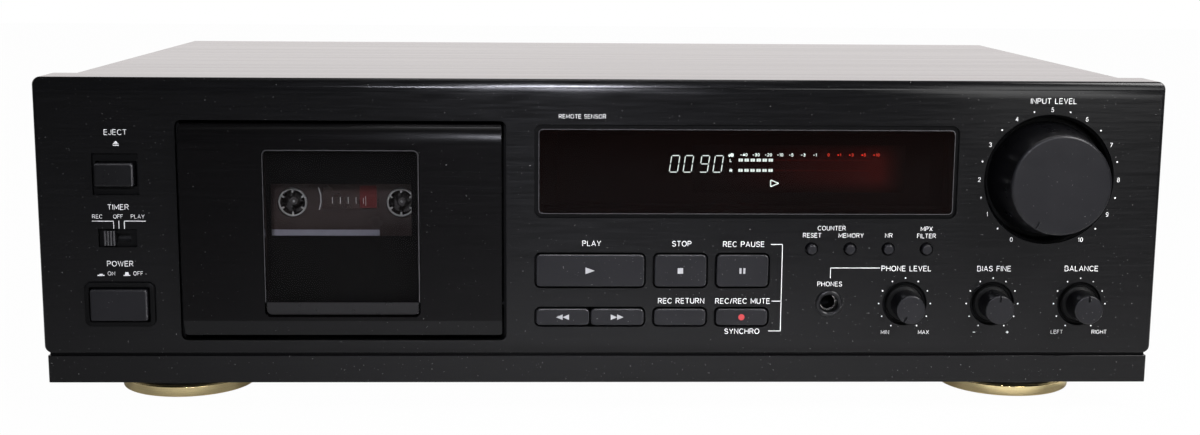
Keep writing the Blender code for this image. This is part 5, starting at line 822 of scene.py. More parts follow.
def build_door():
    """Door with its curved top, its window and the black mask behind the window."""
    front, back = DOOR_LOW.y, DOOR_LOW.y + DOOR_THICKNESS
    bottom, top = DOOR_LOW.z, DOOR_HIGH.z
    side = [(back, bottom), (front + 0.003, bottom), (front + 0.0006, bottom + 0.0054),
            (front + 0.0002, bottom + 0.0062), (front, bottom + 0.0071)]
    side += oval(front + 0.004, top - 0.0075, 0.004, 0.0075, 180, 90, 16) + [(back, top)]
    centre_y, centre_z = (front + back) / 2, (bottom + top) / 2
    edge, half_deep, half_high = 0.00022, 0.003, 0.041
    rings = []
    for x, amount in ((DOOR_LOW.x, edge), (DOOR_LOW.x + edge * 0.3, edge * 0.3), (DOOR_LOW.x + edge, 0.0),
                      (DOOR_HIGH.x - edge, 0.0), (DOOR_HIGH.x - edge * 0.3, edge * 0.3), (DOOR_HIGH.x, edge)):
        rings.append([(x, centre_y + (y - centre_y) * (1 - amount / half_deep),
                       centre_z + (z - centre_z) * (1 - amount / half_high)) for y, z in side])
    door = Form().loft(rings)
    wide, tall = DOOR_HIGH.x - DOOR_LOW.x + 0.00001, top - bottom + 0.00001
    door.combine(Form().plate((DOOR_LOW.x + DOOR_HIGH.x) / 2, centre_z, wide, tall, 0.0012, front - 0.002,
                              back + 0.002), "INTERSECT")
    pane_low, pane_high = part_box("door_window")
    x, z = (pane_low.x + pane_high.x) / 2, (pane_low.z + pane_high.z) / 2
    width, height = pane_high.x - pane_low.x + 0.0006, pane_high.z - pane_low.z + 0.0006
    door.cut(Form().plate(x, z, width, height, 0.0025, front - 0.002, back + 0.002))
    hinge_y, hinge_z, lug = FRONT_Y + 0.008, bottom + 0.0108, 0.0034
    section = [(hinge_y + y, hinge_z + z) for y, z in [(-0.0075, lug), (-0.0075, -lug)]
               + arc(0.0, 0.0, lug, -90, 90, 12)]
    lugs = Form()
    for left in (DOOR_LOW.x, DOOR_HIGH.x - 0.003):
        lugs.beam(section, left + 0.0003, left + 0.0027)
    panel = door.join(lugs).piece("tape_door_panel", "door", "tape_door", "brushed_black", "cassette_door", 30)
    # Painted reflection: the downward-facing lower chamfer takes the lighter, glossier face look so that it
    # reads brighter
    reface(panel, lambda centre, normal: int(centre.z < bottom + 0.0063 and normal.z < -0.1), "face")

    lip, low, high = pane_low.y, pane_low.z, pane_low.z + 0.0056
    left, right = pane_low.x, pane_high.x
    wedge = Form().beam(((lip - 0.002, low), (lip + 0.0016, low), (lip, high), (lip - 0.002, high)),
                        left - 0.002, right + 0.002)
    (Form().soft_plate(x, z, width - 0.0006, height - 0.0006, 0.0022, lip, pane_high.y, 0.00035).cut(wedge)
     .piece("door_pane", "pane", "tape_door", "smoked_acrylic", "door_window", 25))
    lower = Form().block((left - 0.002, lip - 0.002, low - 0.002), (right + 0.002, pane_high.y, high))
    # Painted highlight along the top and sides of the window pane
    (pane_rim(x, z, width - 0.0005, height - 0.0005, 0.00225, lip).cut(lower)
     .piece("window_rim_highlight", "painted_glint", "tape_door", "smoked_acrylic", sharp=25))
    half = (right - left) / 2 - 0.0006
    foot = 0.0005
    slope = lip + 0.0016 * (1 - foot / 0.0056)
    section = ((slope - 0.00008, low + foot), (lip - 0.00008, high), (lip + 0.00002, high),
               (slope + 0.00002, low + foot))
    plan = Form().plate(x, z, 2 * half, height - 0.0016, 0.0019, lip - 0.001, lip + 0.003)
    # Painted reflection: the sloped lower bevel of the pane takes a lighter opaque look
    (Form().beam(section, x - half - 0.001, x + half + 0.001).combine(plan, "INTERSECT")
     .piece("window_bevel", "bevel", "tape_door", "smoked_acrylic", sharp=25))

    clear_left, clear_right, clear_low, clear_high = -0.1282, -0.0743, 0.0704, 0.0906
    left, right, base, roof = left + 0.0002, right - 0.0002, low + 0.0002, pane_high.z - 0.0002
    mask = Form()
    for low_x, low_z, high_x, high_z in (
            (left, base, right, clear_low), (left, clear_high, right, roof),
            (left, clear_low, clear_left, clear_high), (clear_right, clear_low, right, clear_high)):
        mask.block((low_x, pane_high.y + 0.00003, low_z), (high_x, pane_high.y + 0.00025, high_z))
    mask.piece("window_mask", "deep", "tape_door")


# Cassette
INSERT_X, INSERT_Z = -0.0991, 0.0838
NOSE_RISE = 0.00165


def build_cassette():
    """Cassette with its window, label strip, marks and wound reels."""
    low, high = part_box("cassette_shell")
    front, back = low.y + NOSE_RISE, high.y - NOSE_RISE
    x, z = middle("cassette_shell").x, middle("cassette_shell").z
    width, height = high.x - low.x, high.z - low.z
    sections = soft_sections(width, height, 0.0015, front, 0.0005, 3)
    sections += [(wide, tall, radius, front + back - y) for wide, tall, radius, y in reversed(sections)]
    base, top = low.z + 0.0001, low.z + 0.0155
    nose = Form().flat([(x - 0.033, base), (x + 0.033, base), (x + 0.0305, top), (x - 0.0305, top)],
                       low.y, high.y)
    inside = Form().plate(x, z, width - 0.008, height - 0.006, 0.004, front + 0.0015, back - 0.0015)
    holes = Form()
    for node in ("left_tape_reel", "right_tape_reel"):
        holes.rod(middle(node).x, middle(node).z, 0.0059, front - 0.003, back + 0.003, 64)
    holes.plate(INSERT_X, INSERT_Z, 0.0219, 0.0097, 0.0006, front - 0.003, back + 0.003)
    depth, half_slot = (front + back) / 2, 0.0125 / 2
    for place in (-0.021, 0.0, 0.021):
        holes.block((x + place - half_slot, depth - 0.0025, low.z - 0.002),
                    (x + place + half_slot, depth + 0.0025, low.z + 0.009))
    (Form().slab(x, z, sections).join(nose).cut(inside).cut(holes)
     .piece("cassette_body", "shell", "tape_door", "cassette_plastic", "cassette_shell", 30, 0.00012))

    insert = Form()
    for y in (front + 0.0002, back - 0.0009):
        insert.plate(INSERT_X, INSERT_Z, 0.0217, 0.0095, 0.0005, y, y + 0.0007)
    insert.piece("cassette_insert", "insert", "tape_door", "smoked_acrylic")
    (Form().plate(x - 0.009, 0.0693, 0.0435, 0.0029, 0.0003, front - 0.00004, front + 0.00004)
     .piece("cassette_label", "label", "tape_door", "white_plastic"))
    (Form().plate(-0.0922, 0.08385, 0.0066, 0.0088, 0.0002, front + 0.00012, front + 0.00019)
     .piece("cassette_red_mark", "stain", "tape_door", "cassette_plastic"))
    ticks, curve, bars = [Print(front + depth, front + depth + 0.00008)
                          for depth in (0.0001, -0.00006, 0.00004)]
    for place in (-0.10622, -0.10313, -0.10004, -0.09699):
        ticks.patch(place - 0.00013, 0.0811, place + 0.00013, 0.0837)
    curve.ribbon(bow(-0.1219, 0.0829, 0.0113, 0.0113, -22, 24), 0.0004)
    for place, tall in ((-0.0941, 0.0012), (-0.0932, 0.0018)):
        bars.patch(place - 0.0001, 0.0822 - tall, place + 0.0001, 0.0822 + tall)
    ticks.add(curve).add(bars).piece("cassette_ticks", "ink", "tape_door", "white_plastic")

    near, far = front + 0.0019, back - 0.0019
    profile = [(0.0049, near - 0.0011), (0.0051, near - 0.0013), (0.0054, near - 0.0013),
               (0.0056, near - 0.0011), (0.0057, near), (0.0108, near), (0.0108, far), (0.0057, far),
               (0.0056, far + 0.0012), (0.0049, far + 0.0012)]
    for node, radius in (("left_tape_reel", 0.0156), ("right_tape_reel", 0.0125)):
        place = middle(node)
        hub = Form().lathe(place.x, place.z, profile, 64, True)
        for tooth in range(6):
            turn = (Matrix.Translation((place.x, 0, place.z))
                    @ Matrix.Rotation(math.radians(60 * tooth + 30), 4, "Y"))
            hub.add(Form().flat(((0.0038, -0.0003), (0.0051, -0.0005), (0.0051, 0.0005), (0.0038, 0.0003)),
                                near - 0.001, far + 0.0008).moved(turn))
        ring = hub.piece(node.replace("_tape_reel", "_hub"), "white", node, "white_plastic", node)
        # Painted shade: the hub's faces that sit deeper than its front rim take the dark shell look instead of
        # white
        reface(ring, lambda centre, normal: int(centre.y > near - 0.0004), "shell")
        (Form().tube(place.x, place.z, 0.011, radius, near + 0.0001, far - 0.0001)
         .piece(node.replace("_tape_reel", "_tape_pack"), "tape", node, "cassette_plastic"))


# Display: the segments of a figure, the lit figures, and the words beside and above the bars
DIGITS = {"0": "abcdef", "9": "abcdfg"}
SEGMENTS = {
    "a": ((0, 1), (1, 1)), "b": ((1, 1), (1, 0.5)), "c": ((1, 0.5), (1, 0)), "d": ((0, 0), (1, 0)),
    "e": ((0, 0.5), (0, 0)), "f": ((0, 1), (0, 0.5)), "g": ((0, 0.5), (1, 0.5)),
}
FIGURES = ((0.0258, 0.0299, "0"), (0.0312, 0.0353, "0"), (0.0376, 0.0416, "9"), (0.0429, 0.0470, "0"))
FIGURE_LOW, FIGURE_HIGH, FIGURE_SLANT, SEGMENT_GAP = 0.0947, 0.1012, 0.0009, 0.06
BAR_ROWS = (0.0995, 0.09545)
BAR_START, BAR_PITCH, BAR_END = 0.0529, 0.00236, 0.1085
BAR_PAIRS, LIT_PAIRS = 22, 6
UNITS = (("dB", 0.0499, 0.10146, 0.0014), ("L", 0.04987, 0.09937, 0.0013), ("R", 0.05003, 0.09534, 0.0013))
SCALE = (("-40", 0.0549), ("-30", 0.05972), ("-20", 0.06454), ("-10", 0.06914), ("-5", 0.07346),
         ("-3", 0.07818), ("-1", 0.08282))
RED_SCALE = (("0", 0.08821), ("+1", 0.0923), ("+3", 0.09707), ("+5", 0.10195), ("+10", 0.107))


def build_display():
    """Smoked lens, dark shroud, and the lit figures, bars and scale on the tube."""
    low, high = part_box("display_window")
    wide, tall = high.x - low.x, high.z - low.z
    (Form().soft_plate(DISPLAY.x, DISPLAY.z, wide, tall, 0.0018, low.y, high.y, 0.0003)
     .piece("display_lens", "lens", "chassis", "smoked_acrylic", "display_window", 25))
    # Painted highlight round the display lens
    (pane_rim(DISPLAY.x, DISPLAY.z, wide, tall, 0.0018, low.y)
     .piece("lens_rim_highlight", "painted_glint", slot="smoked_acrylic", sharp=25))

    tube_low, tube_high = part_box("display_tube")
    tube = tube_low.y
    width, height = DISPLAY_POCKET[0] - 0.0064, DISPLAY_POCKET[1] - 0.0064
    wide, tall = tube_high.x - tube_low.x - 0.004, tube_high.z - tube_low.z - 0.002
    sections = [(width, height, 0.0006, PLATE_BACK + 0.0001),
                (width - 0.0008, height - 0.0008, 0.0004, PLATE_BACK + 0.0001),
                (width - 0.0008, height - 0.0008, 0.0004, tube - 0.0003), (wide, tall, 0.0004, tube - 0.0003),
                (wide, tall, 0.0004, tube - 0.0001), (width, height, 0.0006, tube - 0.0001)]
    Form().slab(DISPLAY.x, DISPLAY.z, sections, True).piece("display_shroud", "deep")
    # Painted red glow patch across the tube face
    (Print(tube - 0.00012, tube - 0.00002).patch(0.035, 0.0866, 0.1185, 0.1055)
     .piece("display_glow", "glow", slot="display_glass"))

    lit, red = [Print(tube - 0.0003, tube - 0.00015) for _ in range(2)]
    for left, right, digit in FIGURES:
        for name in DIGITS[digit]:
            (ax, az), (bx, bz) = [(left + x * (right - left - FIGURE_SLANT) + FIGURE_SLANT * z,
                                   FIGURE_LOW + z * (FIGURE_HIGH - FIGURE_LOW)) for x, z in SEGMENTS[name]]
            trim_x, trim_z = (bx - ax) * SEGMENT_GAP, (bz - az) * SEGMENT_GAP
            lit.stroke((ax + trim_x, az + trim_z), (bx - trim_x, bz - trim_z), 0.00035)
    dim = Print(tube - 0.00022, tube - 0.00015)
    for row in BAR_ROWS:
        for pair in range(BAR_PAIRS):
            x = BAR_START + pair * BAR_PITCH
            if pair < LIT_PAIRS:
                for start in (x, x + 0.0009):
                    lit.patch(start, row - 0.00055, start + 0.00078, row + 0.00055)
            elif x <= BAR_END:
                dim.patch(x, row - 0.00028, x + 0.002, row + 0.00028)
    for words, x, z, size in UNITS:
        lit.write(words, x, z, size, 0.2, 0.1)
    for form, scale, z in ((lit, SCALE, 0.1016), (red, RED_SCALE, 0.10166)):
        for words, x in scale:
            form.write(words, x, z, 0.0013, 0.2, 0.12)
    corners = ((0.0657, 0.0917), (0.0657, 0.089), (0.0688, 0.09035))
    for start, end in zip(corners, corners[1:] + corners[:1]):
        lit.stroke(start, end, 0.0004)
    lit.piece("display_lit", "lit_white", slot="display_glass")
    red.piece("display_lit_red", "lit_red", slot="display_glass")
    # Unlit bars with a faint painted red glow
    dim.piece("display_unlit_glow", "unlit_red_painted_glow", slot="display_glass")


# Lettering
def bow(x, z, x_radius, z_radius, start, end):
    """Arc of a letter, with as many steps as its angle needs."""
    return tuple(oval(x, z, x_radius, z_radius, start, end, max(2, round(abs(end - start) / 18))))


# Each letter's width and strokes, as shares of the cap height
GLYPHS = {
    " ": (0.26,),
    "A": (0.7, ((0, 0), (0.35, 1), (0.7, 0)), ((0.12, 0.32), (0.58, 0.32))),
    "B": (0.6, ((0.36, 0.53), (0, 0.53), (0, 1), (0.34, 1)) + bow(0.34, 0.765, 0.2, 0.235, 90, -90),
          ((0, 0.53), (0.36, 0.53)) + bow(0.36, 0.265, 0.24, 0.265, 90, -90) + ((0, 0), (0, 0.53))),
    "C": (0.68, bow(0.37, 0.5, 0.37, 0.5, 42, 318)),
    "D": (0.66, ((0, 0.5), (0, 1), (0.28, 1)) + bow(0.28, 0.5, 0.38, 0.5, 90, -90) + ((0, 0), (0, 0.5))),
    "E": (0.54, ((0.53, 1), (0, 1), (0, 0), (0.55, 0)), ((0, 0.53), (0.48, 0.53))),
    "F": (0.5, ((0.51, 1), (0, 1), (0, 0)), ((0, 0.52), (0.43, 0.52))),
    "G": (0.74, bow(0.38, 0.5, 0.38, 0.5, 45, 325) + ((0.74, 0.46), (0.42, 0.46))),
    "H": (0.64, ((0, 0), (0, 1)), ((0.64, 0), (0.64, 1)), ((0, 0.52), (0.64, 0.52))),
    "I": (0.0, ((0, 0), (0, 1))),
    "J": (0.42, ((0.42, 1), (0.42, 0.28)) + bow(0.21, 0.26, 0.21, 0.26, 0, -175)),
    "K": (0.6, ((0, 0), (0, 1)), ((0.57, 1), (0, 0.36)), ((0.2, 0.57), (0.6, 0))),
    "L": (0.48, ((0, 1), (0, 0), (0.48, 0))),
    "M": (0.76, ((0, 0), (0, 1), (0.38, 0.22), (0.76, 1), (0.76, 0))),
    "N": (0.64, ((0, 0), (0, 1), (0.64, 0), (0.64, 1))),
    "O": (0.76, bow(0.38, 0.5, 0.38, 0.5, 0, 360)),
    "P": (0.58, ((0, 0), (0, 1), (0.32, 1)) + bow(0.32, 0.74, 0.26, 0.26, 90, -90) + ((0, 0.48),)),
    "R": (0.62, ((0, 0), (0, 1), (0.34, 1)) + bow(0.34, 0.75, 0.25, 0.25, 90, -90) + ((0, 0.5),),
          ((0.3, 0.5), (0.62, 0))),
    "S": (0.58, bow(0.29, 0.745, 0.26, 0.255, 15, 215) + bow(0.29, 0.255, 0.29, 0.255, 40, -165)),
    "T": (0.6, ((0, 1), (0.6, 1)), ((0.3, 1), (0.3, 0))),
    "U": (0.62, ((0, 1),) + bow(0.31, 0.3, 0.31, 0.3, 180, 360) + ((0.62, 1),)),
    "V": (0.64, ((0, 1), (0.32, 0), (0.64, 1))),
    "W": (0.92, ((0, 1), (0.23, 0), (0.46, 0.95), (0.69, 0), (0.92, 1))),
    "X": (0.62, ((0, 0), (0.62, 1)), ((0, 1), (0.62, 0))),
    "Y": (0.64, ((0, 1), (0.32, 0.44), (0.64, 1)), ((0.32, 0.44), (0.32, 0))),
    "/": (0.28, ((0, -0.02), (0.28, 1.02))),
    "-": (0.42, ((0, 0.45), (0.42, 0.45))),
    "+": (0.5, ((0, 0.45), (0.5, 0.45)), ((0.25, 0.2), (0.25, 0.7))),
    "0": (0.48, bow(0.24, 0.5, 0.24, 0.5, 0, 360)),
    "1": (0.2, ((0, 0.76), (0.12, 0.82), (0.2, 1), (0.2, 0))),
    "2": (0.48, bow(0.24, 0.73, 0.24, 0.27, 170, -35) + ((0, 0), (0.5, 0))),
    "3": (0.48, bow(0.24, 0.76, 0.21, 0.24, 165, -80) + bow(0.24, 0.26, 0.25, 0.26, 80, -165)),
    "4": (0.52, ((0.38, 0), (0.38, 1), (0, 0.3), (0.52, 0.3))),
    "5": (0.48, ((0.46, 1), (0.09, 1), (0.03, 0.5)) + bow(0.23, 0.32, 0.26, 0.32, 130, -155)),
    "6": (0.48, bow(0.25, 0.31, 0.24, 0.31, 0, 360), bow(0.33, 0.42, 0.32, 0.58, 195, 70)),
    "7": (0.48, ((0, 1), (0.48, 1), (0.16, 0))),
    "8": (0.48, bow(0.24, 0.77, 0.19, 0.23, 0, 360), bow(0.24, 0.27, 0.24, 0.27, 0, 360)),
    "9": (0.48, bow(0.24, 0.69, 0.24, 0.31, 0, 360), bow(0.16, 0.58, 0.32, 0.58, 15, -110)),
    "d": (0.46, bow(0.21, 0.33, 0.21, 0.33, 0, 360), ((0.44, 1), (0.44, 0))),
}
BIG, MEDIUM, SMALL = 0.0022, 0.0019, 0.0016
SCALE_RADIUS = 0.02725
WORDS = (
    ("EJECT", -0.18602, 0.1106, BIG), ("TIMER", -0.18608, 0.0818, BIG),
    ("REC", -0.19413, 0.07811, SMALL), ("OFF", -0.18623, 0.07812, SMALL), ("PLAY", -0.17878, 0.07814, SMALL),
    ("POWER", -0.18618, 0.0597, BIG), ("ON", -0.1897, 0.05588, SMALL), ("OFF", -0.17945, 0.0559, SMALL),
    ("REMOTE SENSOR", -0.00843, 0.11735, 0.00165),
    ("PLAY", -0.0046, 0.068, BIG), ("STOP", 0.0304, 0.0679, BIG), ("REC PAUSE", 0.05455, 0.06775, BIG),
    ("REC RETURN", 0.03048, 0.04524, BIG), ("REC/REC MUTE", 0.05457, 0.04517, BIG),
    ("SYNCHRO", 0.05452, 0.03306, BIG), ("COUNTER", 0.08873, 0.07414, 0.0018),
    ("RESET", 0.08116, 0.07132, 0.0018), ("MEMORY", 0.09641, 0.07127, 0.0018),
    ("NR", 0.11113, 0.0713, 0.0018), ("MPX", 0.12588, 0.07394, 0.0018), ("FILTER", 0.12591, 0.07113, 0.0018),
    ("PHONES", 0.0886, 0.052, MEDIUM), ("PHONE LEVEL", 0.1185, 0.0582, BIG), ("BIAS FINE", 0.1531, 0.0582, BIG),
    ("BALANCE", 0.1876, 0.0583, BIG), ("INPUT LEVEL", 0.1732, 0.124, BIG),
    ("MIN", 0.11099, 0.0327, SMALL), ("MAX", 0.12623, 0.0327, SMALL), ("-", 0.1463, 0.0328, 0.0022),
    ("+", 0.15948, 0.0328, 0.0022), ("LEFT", 0.17917, 0.03283, SMALL), ("RIGHT", 0.19603, 0.03283, SMALL),
)
LINES = (
    ((-0.19614, 0.07632), (-0.18805, 0.07632), (-0.18805, 0.07353)),
    ((-0.18603, 0.07632), (-0.18603, 0.07353)),
    ((-0.18398, 0.07353), (-0.18398, 0.07635), (-0.17592, 0.07635)),
    ((0.06529, 0.06769), (0.06966, 0.06769), (0.06966, 0.03318), (0.06499, 0.03318)),
    ((0.06611, 0.04514), (0.06966, 0.04514)),
    ((0.10806, 0.0584), (0.08875, 0.0584), (0.08875, 0.05443)),
)


def build_lettering():
    """Words, scale marks and lines printed on the panel."""
    form = Print(FRONT_Y - PRINT_RISE, FRONT_Y + PRINT_RISE)
    for words, x, z, cap in WORDS:
        form.write(words, x, z, cap, 0.115 if cap > MEDIUM else 0.105)
    for points in LINES:
        form.line(points, 0.00028)
    form.fill([(-0.1872, 0.1061), (-0.1848, 0.1061), (-0.186, 0.1073)])
    form.patch(-0.1872, 0.1054, -0.1848, 0.1058)
    foot = 0.0553
    for x, tall in ((-0.1937, 0.0004), (-0.1838, 0.0011)):
        form.patch(x - 0.0013, foot - 0.0004, x + 0.0013, foot)
        form.fill([(x - 0.0008, foot), (x + 0.0008, foot), (x + 0.0006, foot + tall),
                   (x - 0.0006, foot + tall)])
    for number, (x, z) in enumerate(arc(DIAL.x, DIAL.z, SCALE_RADIUS, 240, -60, 10)):
        form.write(str(number), x, z, 0.0018)
    for x, z in arc(DIAL.x, DIAL.z, SCALE_RADIUS, 225, -45, 9):
        form.dot(x, z, 0.00034)
    for node, _ in SMALL_KNOBS:
        for x, z in arc(middle(node).x, middle(node).z, 0.0102, 240, -60, 10):
            form.dot(x, z, 0.00029)
    form.piece("front_lettering", "ink", slot="white_plastic")


# Case, feet and rear
def build_cover():
    """Folded top cover with soft bends."""
    low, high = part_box("top_cover")
    sheet, bend = 0.001, 0.0018
    outer, inner = [[(high.x - inset, low.z)] + arc(high.x - bend, high.z - bend, bend - inset, 0, 90)
                    + arc(low.x + bend, high.z - bend, bend - inset, 90, 180) + [(low.x + inset, low.z)]
                    for inset in (0.0, sheet)]
    (Form().flat(outer + inner[::-1], low.y, high.y)
     .piece("cover_sheet", "paint", slot="satin_black", replaced="top_cover", bevel=0.0001))


def screw(place, way):
    """Pan-head cross screw at a point, its head facing a direction."""
    head, radius = 0.0011, 0.0027
    profile = [(0.0, -head)]
    for degrees in (15, 30, 45, 60, 75, 90):
        angle = math.radians(degrees)
        profile.append((radius * math.sin(angle), -head + head * (1 - math.cos(angle)) ** 1.4))
    profile += [(radius, 0.0004), (0.0, 0.0004)]
    form = Form().lathe(0.0, 0.0, profile, 32)
    for wide, tall in ((0.0014, 0.00028), (0.00028, 0.0014)):
        form.cut(Form().block((-wide, -0.002, -tall), (wide, -0.0004, tall)))
    turn = Vector((0.0, -1.0, 0.0)).rotation_difference(Vector(way)).to_matrix().to_4x4()
    return form.moved(Matrix.Translation(place) @ turn)


def build_screws():
    """Screws of the cover and the rear panel."""
    side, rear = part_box("top_cover")[1].x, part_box("rear_panel")[1]
    places = [((way * side, y, 0.026), (way, 0, 0)) for way in (-1, 1) for y in (-0.05, 0.085)]
    for z, row in ((rear.z - 0.0062, (-0.196, -0.1, 0.0, 0.1, 0.196)),
                   (0.0185, (-0.196, -0.15, -0.05, 0.05, 0.112, 0.152, 0.196))):
        places += [((x, rear.y, z), (0, 1, 0)) for x in row]
    form = Form()
    for place, way in places:
        form.add(screw(place, way))
    form.piece("case_screws", "nickel", slot="zinc_steel")


def build_feet():
    """Four turned feet with gilt rings."""
    outer, inner = 0.027, 0.0242
    for name in ("front_left", "front_right", "rear_left", "rear_right"):
        foot, top = middle("foot_" + name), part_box("foot_" + name)[1].z
        profile = [(0.0, top), (0.02, top), (0.02, 0.0071), (0.0203, 0.0068), (0.0234, 0.0068)]
        profile += arc(0.0234, 0.0063, 0.0005, 90, 0, 4)
        profile += [(0.0239, 0.0016), (0.0235, 0.0012), (0.0215, 0.0012), (0.0215, 0.0003), (0.0212, 0.0),
                    (0.0, 0.0)]
        (Form().lathe_up(foot.x, foot.y, profile)
         .piece("foot_body_" + name, "foot", replaced="foot_" + name))
        bottom, top = [corner.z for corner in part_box("foot_ring_" + name)]
        profile = arc(outer - 0.0008, top - 0.0008, 0.0008, 0, 90, 6)
        profile += [(inner + 0.0003, top), (inner, top - 0.0003), (inner, bottom + 0.0002),
                    (inner + 0.0002, bottom)]
        profile += arc(outer - 0.0006, bottom + 0.0006, 0.0006, -90, 0, 4)
        (Form().lathe_up(foot.x, foot.y, profile, True)
         .piece("foot_gilt_" + name, "gilt", slot="gilt_metal", replaced="foot_ring_" + name))


def build_rear():
    """Line jacks at full roundness, and the line printed round them."""
    low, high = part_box("line_jacks")
    rear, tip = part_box("rear_panel")[1].y, high.y
    x, z = 0.132, 0.062
    (Form().plate(x, z, 0.036, 0.0335, 0.001, low.y, rear - 0.0013)
     .piece("jack_block", "plastic", replaced="line_jacks"))
    barrels, white, red = Form(), Form(), Form()
    for side in (-1, 1):
        for row, insert in ((-1, red), (1, white)):
            place = (x + side * 0.0095, z + row * 0.00825)
            barrels.lathe(*place, [(0.0033, rear - 0.001), (0.00415, rear - 0.001), (0.00415, tip - 0.0003),
                                   (0.0039, tip), (0.0036, tip), (0.0033, tip - 0.0003)], 48, True)
            insert.tube(*place, 0.0017, 0.0032, rear - 0.001, tip - 0.0007, 40)
            insert.lathe(*place, [(0.0044, rear + 0.0002), (0.0062, rear + 0.0002), (0.0062, rear + 0.0008),
                                  (0.0059, rear + 0.0011), (0.0044, rear + 0.0011)], 48, True)
    barrels.piece("jack_barrels", "nickel", slot="zinc_steel")
    white.piece("jack_inserts_white", "white", slot="white_plastic")
    red.piece("jack_inserts_red", "jack_red")
    (Form().band(x, z, 0.046, 0.043, 0.002, ((0.0, rear + PRINT_RISE), (0.0, rear - PRINT_RISE),
                                             (0.0004, rear - PRINT_RISE), (0.0004, rear + PRINT_RISE)))
     .piece("rear_outline", "ink", slot="white_plastic"))


def build_spindle_tips():
    """Small white tips on the reel spindles: painted highlight at each spindle's centre."""
    for side in ("left", "right"):
        node, place = side + "_spindle", middle(side + "_tape_reel")
        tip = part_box(node)[0].y
        (Form().lathe(place.x, place.z, [(0.0, tip - 0.0003), (0.00035, tip - 0.0002), (0.0006, tip + 0.0001),
                                         (0.0, tip + 0.0001)], 24)
         .piece(node + "_highlight_tip", "white", node, "white_plastic"))


# Looks of the CAD nodes that stay in view, and how much some of their edges are rounded
DRESS = {
    "steel": ("base_pan", "head_block", "capstan_motor", "reel_motor", "power_transformer"),
    "deep": ("mechanism_frame",), "paint": ("rear_panel",), "tube": ("display_tube",),
    "plastic": ("cassette_holder", "mains_inlet", "power_switch", "timer_switch"),
    "cone": ("left_spindle", "right_spindle"), "board": ("front_board", "main_board"),
    "rubber": ("reel_idler", "pinch_roller", "drive_belt"), "brass": ("capstan_flywheel", "motor_pulley"),
}
EDGES = {"base_pan": 0.0003, "rear_panel": 0.0002, "mains_inlet": 0.0003, "cassette_holder": 0.0002}


def dress_frame():
    """Materials and soft edges for the CAD nodes that stay in view."""
    for look, nodes in DRESS.items():
        for node in nodes:
            if not NODES[node].material_slots:
                NODES[node].data.materials.append(LOOKS[look])
            for place in NODES[node].material_slots:
                place.material = LOOKS[look]
    for node, width in EDGES.items():
        soften(NODES[node], width).harden_normals = True


# Camera and studio: the focal length is in millimetres, the turns are in radians
LENS = 48.97
SENSOR = 36.0
CAMERA_PLACE = (-0.020568, -0.739137, 0.182052)
CAMERA_TURNS = (("Z", -0.0307093), ("X", -0.165361), ("Y", -0.00728041))


def build_camera():
    """Camera at the photograph's place and angle."""
    turn = Matrix.Identity(3)
    for axis, angle in CAMERA_TURNS:
        turn = turn @ Matrix.Rotation(angle, 3, axis)
    aim = Matrix((turn.col[0], turn.col[2], -turn.col[1])).transposed()
    data = bpy.data.cameras.new("camera")
    data.lens = LENS
    data.sensor_width = SENSOR
    data.clip_start = 0.01
    item = new_object("camera", data)
    item.matrix_world = Matrix.Translation(CAMERA_PLACE) @ aim.to_4x4()
    bpy.context.scene.camera = item


def area_light(name, place, target, size, power, spread, colour):
    """Soft rectangular lamp that points at a target."""
    data = bpy.data.lights.new(name, "AREA")
    data.shape = "RECTANGLE"
    data.size, data.size_y = size
    data.energy = power
    data.color = colour
    data.spread = math.radians(spread)
    aim = (Vector(target) - Vector(place)).to_track_quat("-Z", "Y").to_matrix().to_4x4()
    new_object(name, data).matrix_world = Matrix.Translation(place) @ aim


def pale(name, lit_share, mirrored):
    """Studio white for the camera, which reflections see by a share."""
    item = bpy.data.materials.new(name)
    item.use_nodes = True
    tree = item.node_tree
    shader = tree.nodes["Principled BSDF"]
    feed(tree, shader.inputs["Base Color"], (0.82, 0.82, 0.82))
    feed(tree, shader.inputs["Roughness"], 0.9)
    path = add_node(tree, "LightPath", {})
    tone = add_node(tree, "Mix", {"Factor": path["Is Camera Ray"], "A": (1.0, 0.958, 0.956),
                                  "B": (1.0, 1.0, 1.0)}, data_type="RGBA")["Result"]
    glow = add_node(tree, "Emission", {"Strength": 1.0, "Color": tone})["Emission"]
    seen = calculate(tree, "MAXIMUM", path["Is Camera Ray"], path["Is Transmission Ray"])
    seen = calculate(tree, "MAXIMUM", seen, calculate(tree, "MULTIPLY", path["Is Glossy Ray"], mirrored))
    mix = add_node(tree, "MixShader", {"Fac": calculate(tree, "MULTIPLY", seen, lit_share),
                                       1: shader.outputs["BSDF"], 2: glow})["Shader"]
    feed(tree, tree.nodes["Material Output"].inputs["Surface"], mix)
    return item


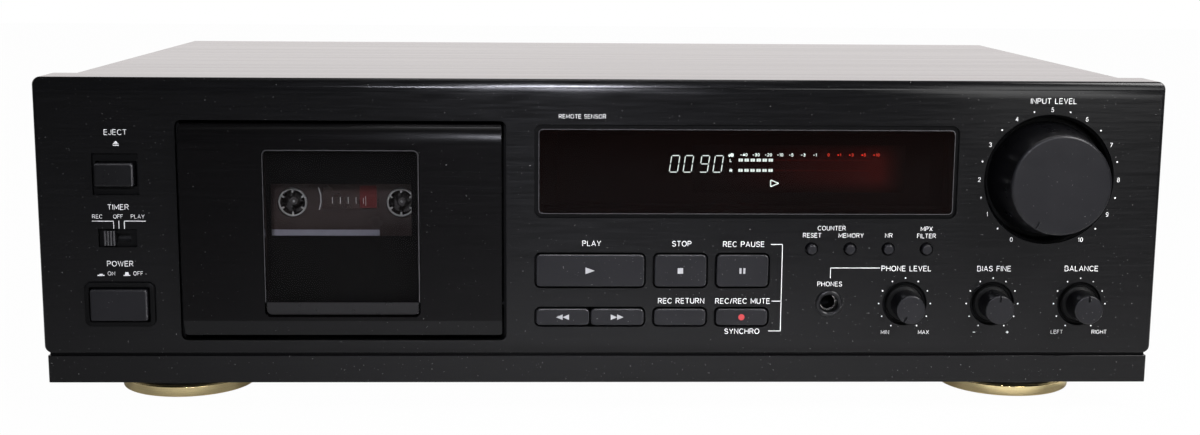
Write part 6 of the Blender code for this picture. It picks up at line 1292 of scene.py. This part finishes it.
# Name, place, target, size, power, spread in degrees and colour
LAMPS = (
    ("window", (-0.01, -1.5, 0.57), (0.0, 0.0, 0.07), (0.14, 0.1), 1.0, 60, (0.88, 0.89, 1.0)),
    ("key", (-0.05, -0.62, 1.15), (0.02, -0.08, 0.05), (0.6, 0.4), 0.1, 60, (1.0, 1.0, 1.0)),
    ("fill", (0.6, -0.6, 0.55), (0.1, -0.1, 0.07), (0.25, 0.3), 0.5, 60, (1.0, 1.0, 1.0)),
    ("strip", (0.47, -1.0, 0.34), (0.15, -0.12, 0.08), (0.2, 0.5), 0.62, 120, (1.0, 1.0, 1.0)),
    ("side", (0.4, -0.34, 0.46), (0.19, -0.12, 0.05), (0.2, 0.15), 0.16, 60, (1.0, 0.98, 0.97)),
    ("wash", (0.0, -0.26, 0.55), (0.0, -0.26, 0.0), (0.26, 0.12), 0.16, 40, (0.96, 0.96, 1.0)),
    ("overhead", (0.0, 0.45, 1.5), (0.0, 0.25, 0.1), (1.2, 0.8), 1.2, 90, (1.0, 0.95, 0.945)),
)


def build_studio():
    """Floor, backdrop, lamps and a soft grey surrounding."""
    for name, low, high, lit_share, mirrored in (
            ("floor", (-6.0, -4.0, -0.02), (6.0, 3.0, 0.0), 0.985, 0.06),
            ("backdrop", (-6.0, 3.0, -0.02), (6.0, 3.02, 5.0), 1.0, 1.0)):
        item = new_object(name, Form().block(low, high).data())
        item.data.materials.append(pale("studio_" + name, lit_share, mirrored))
    for lamp in LAMPS:
        area_light(*lamp)
    world = bpy.data.worlds.new("studio")
    bpy.context.scene.world = world
    world.use_nodes = True
    sky = world.node_tree.nodes["Background"]
    sky.inputs["Color"].default_value = (0.9, 0.92, 0.95, 1.0)
    sky.inputs["Strength"].default_value = 0.13
    bpy.context.scene.view_settings.view_transform = "Standard"


build_camera()
build_studio()
build_panel()
build_skirt()
build_keys()
build_key_symbols()
build_knobs()
build_left_controls()
build_jack()
build_door()
build_cassette()
build_display()
build_lettering()
build_cover()
build_screws()
build_feet()
build_rear()
build_spindle_tips()
dress_frame()
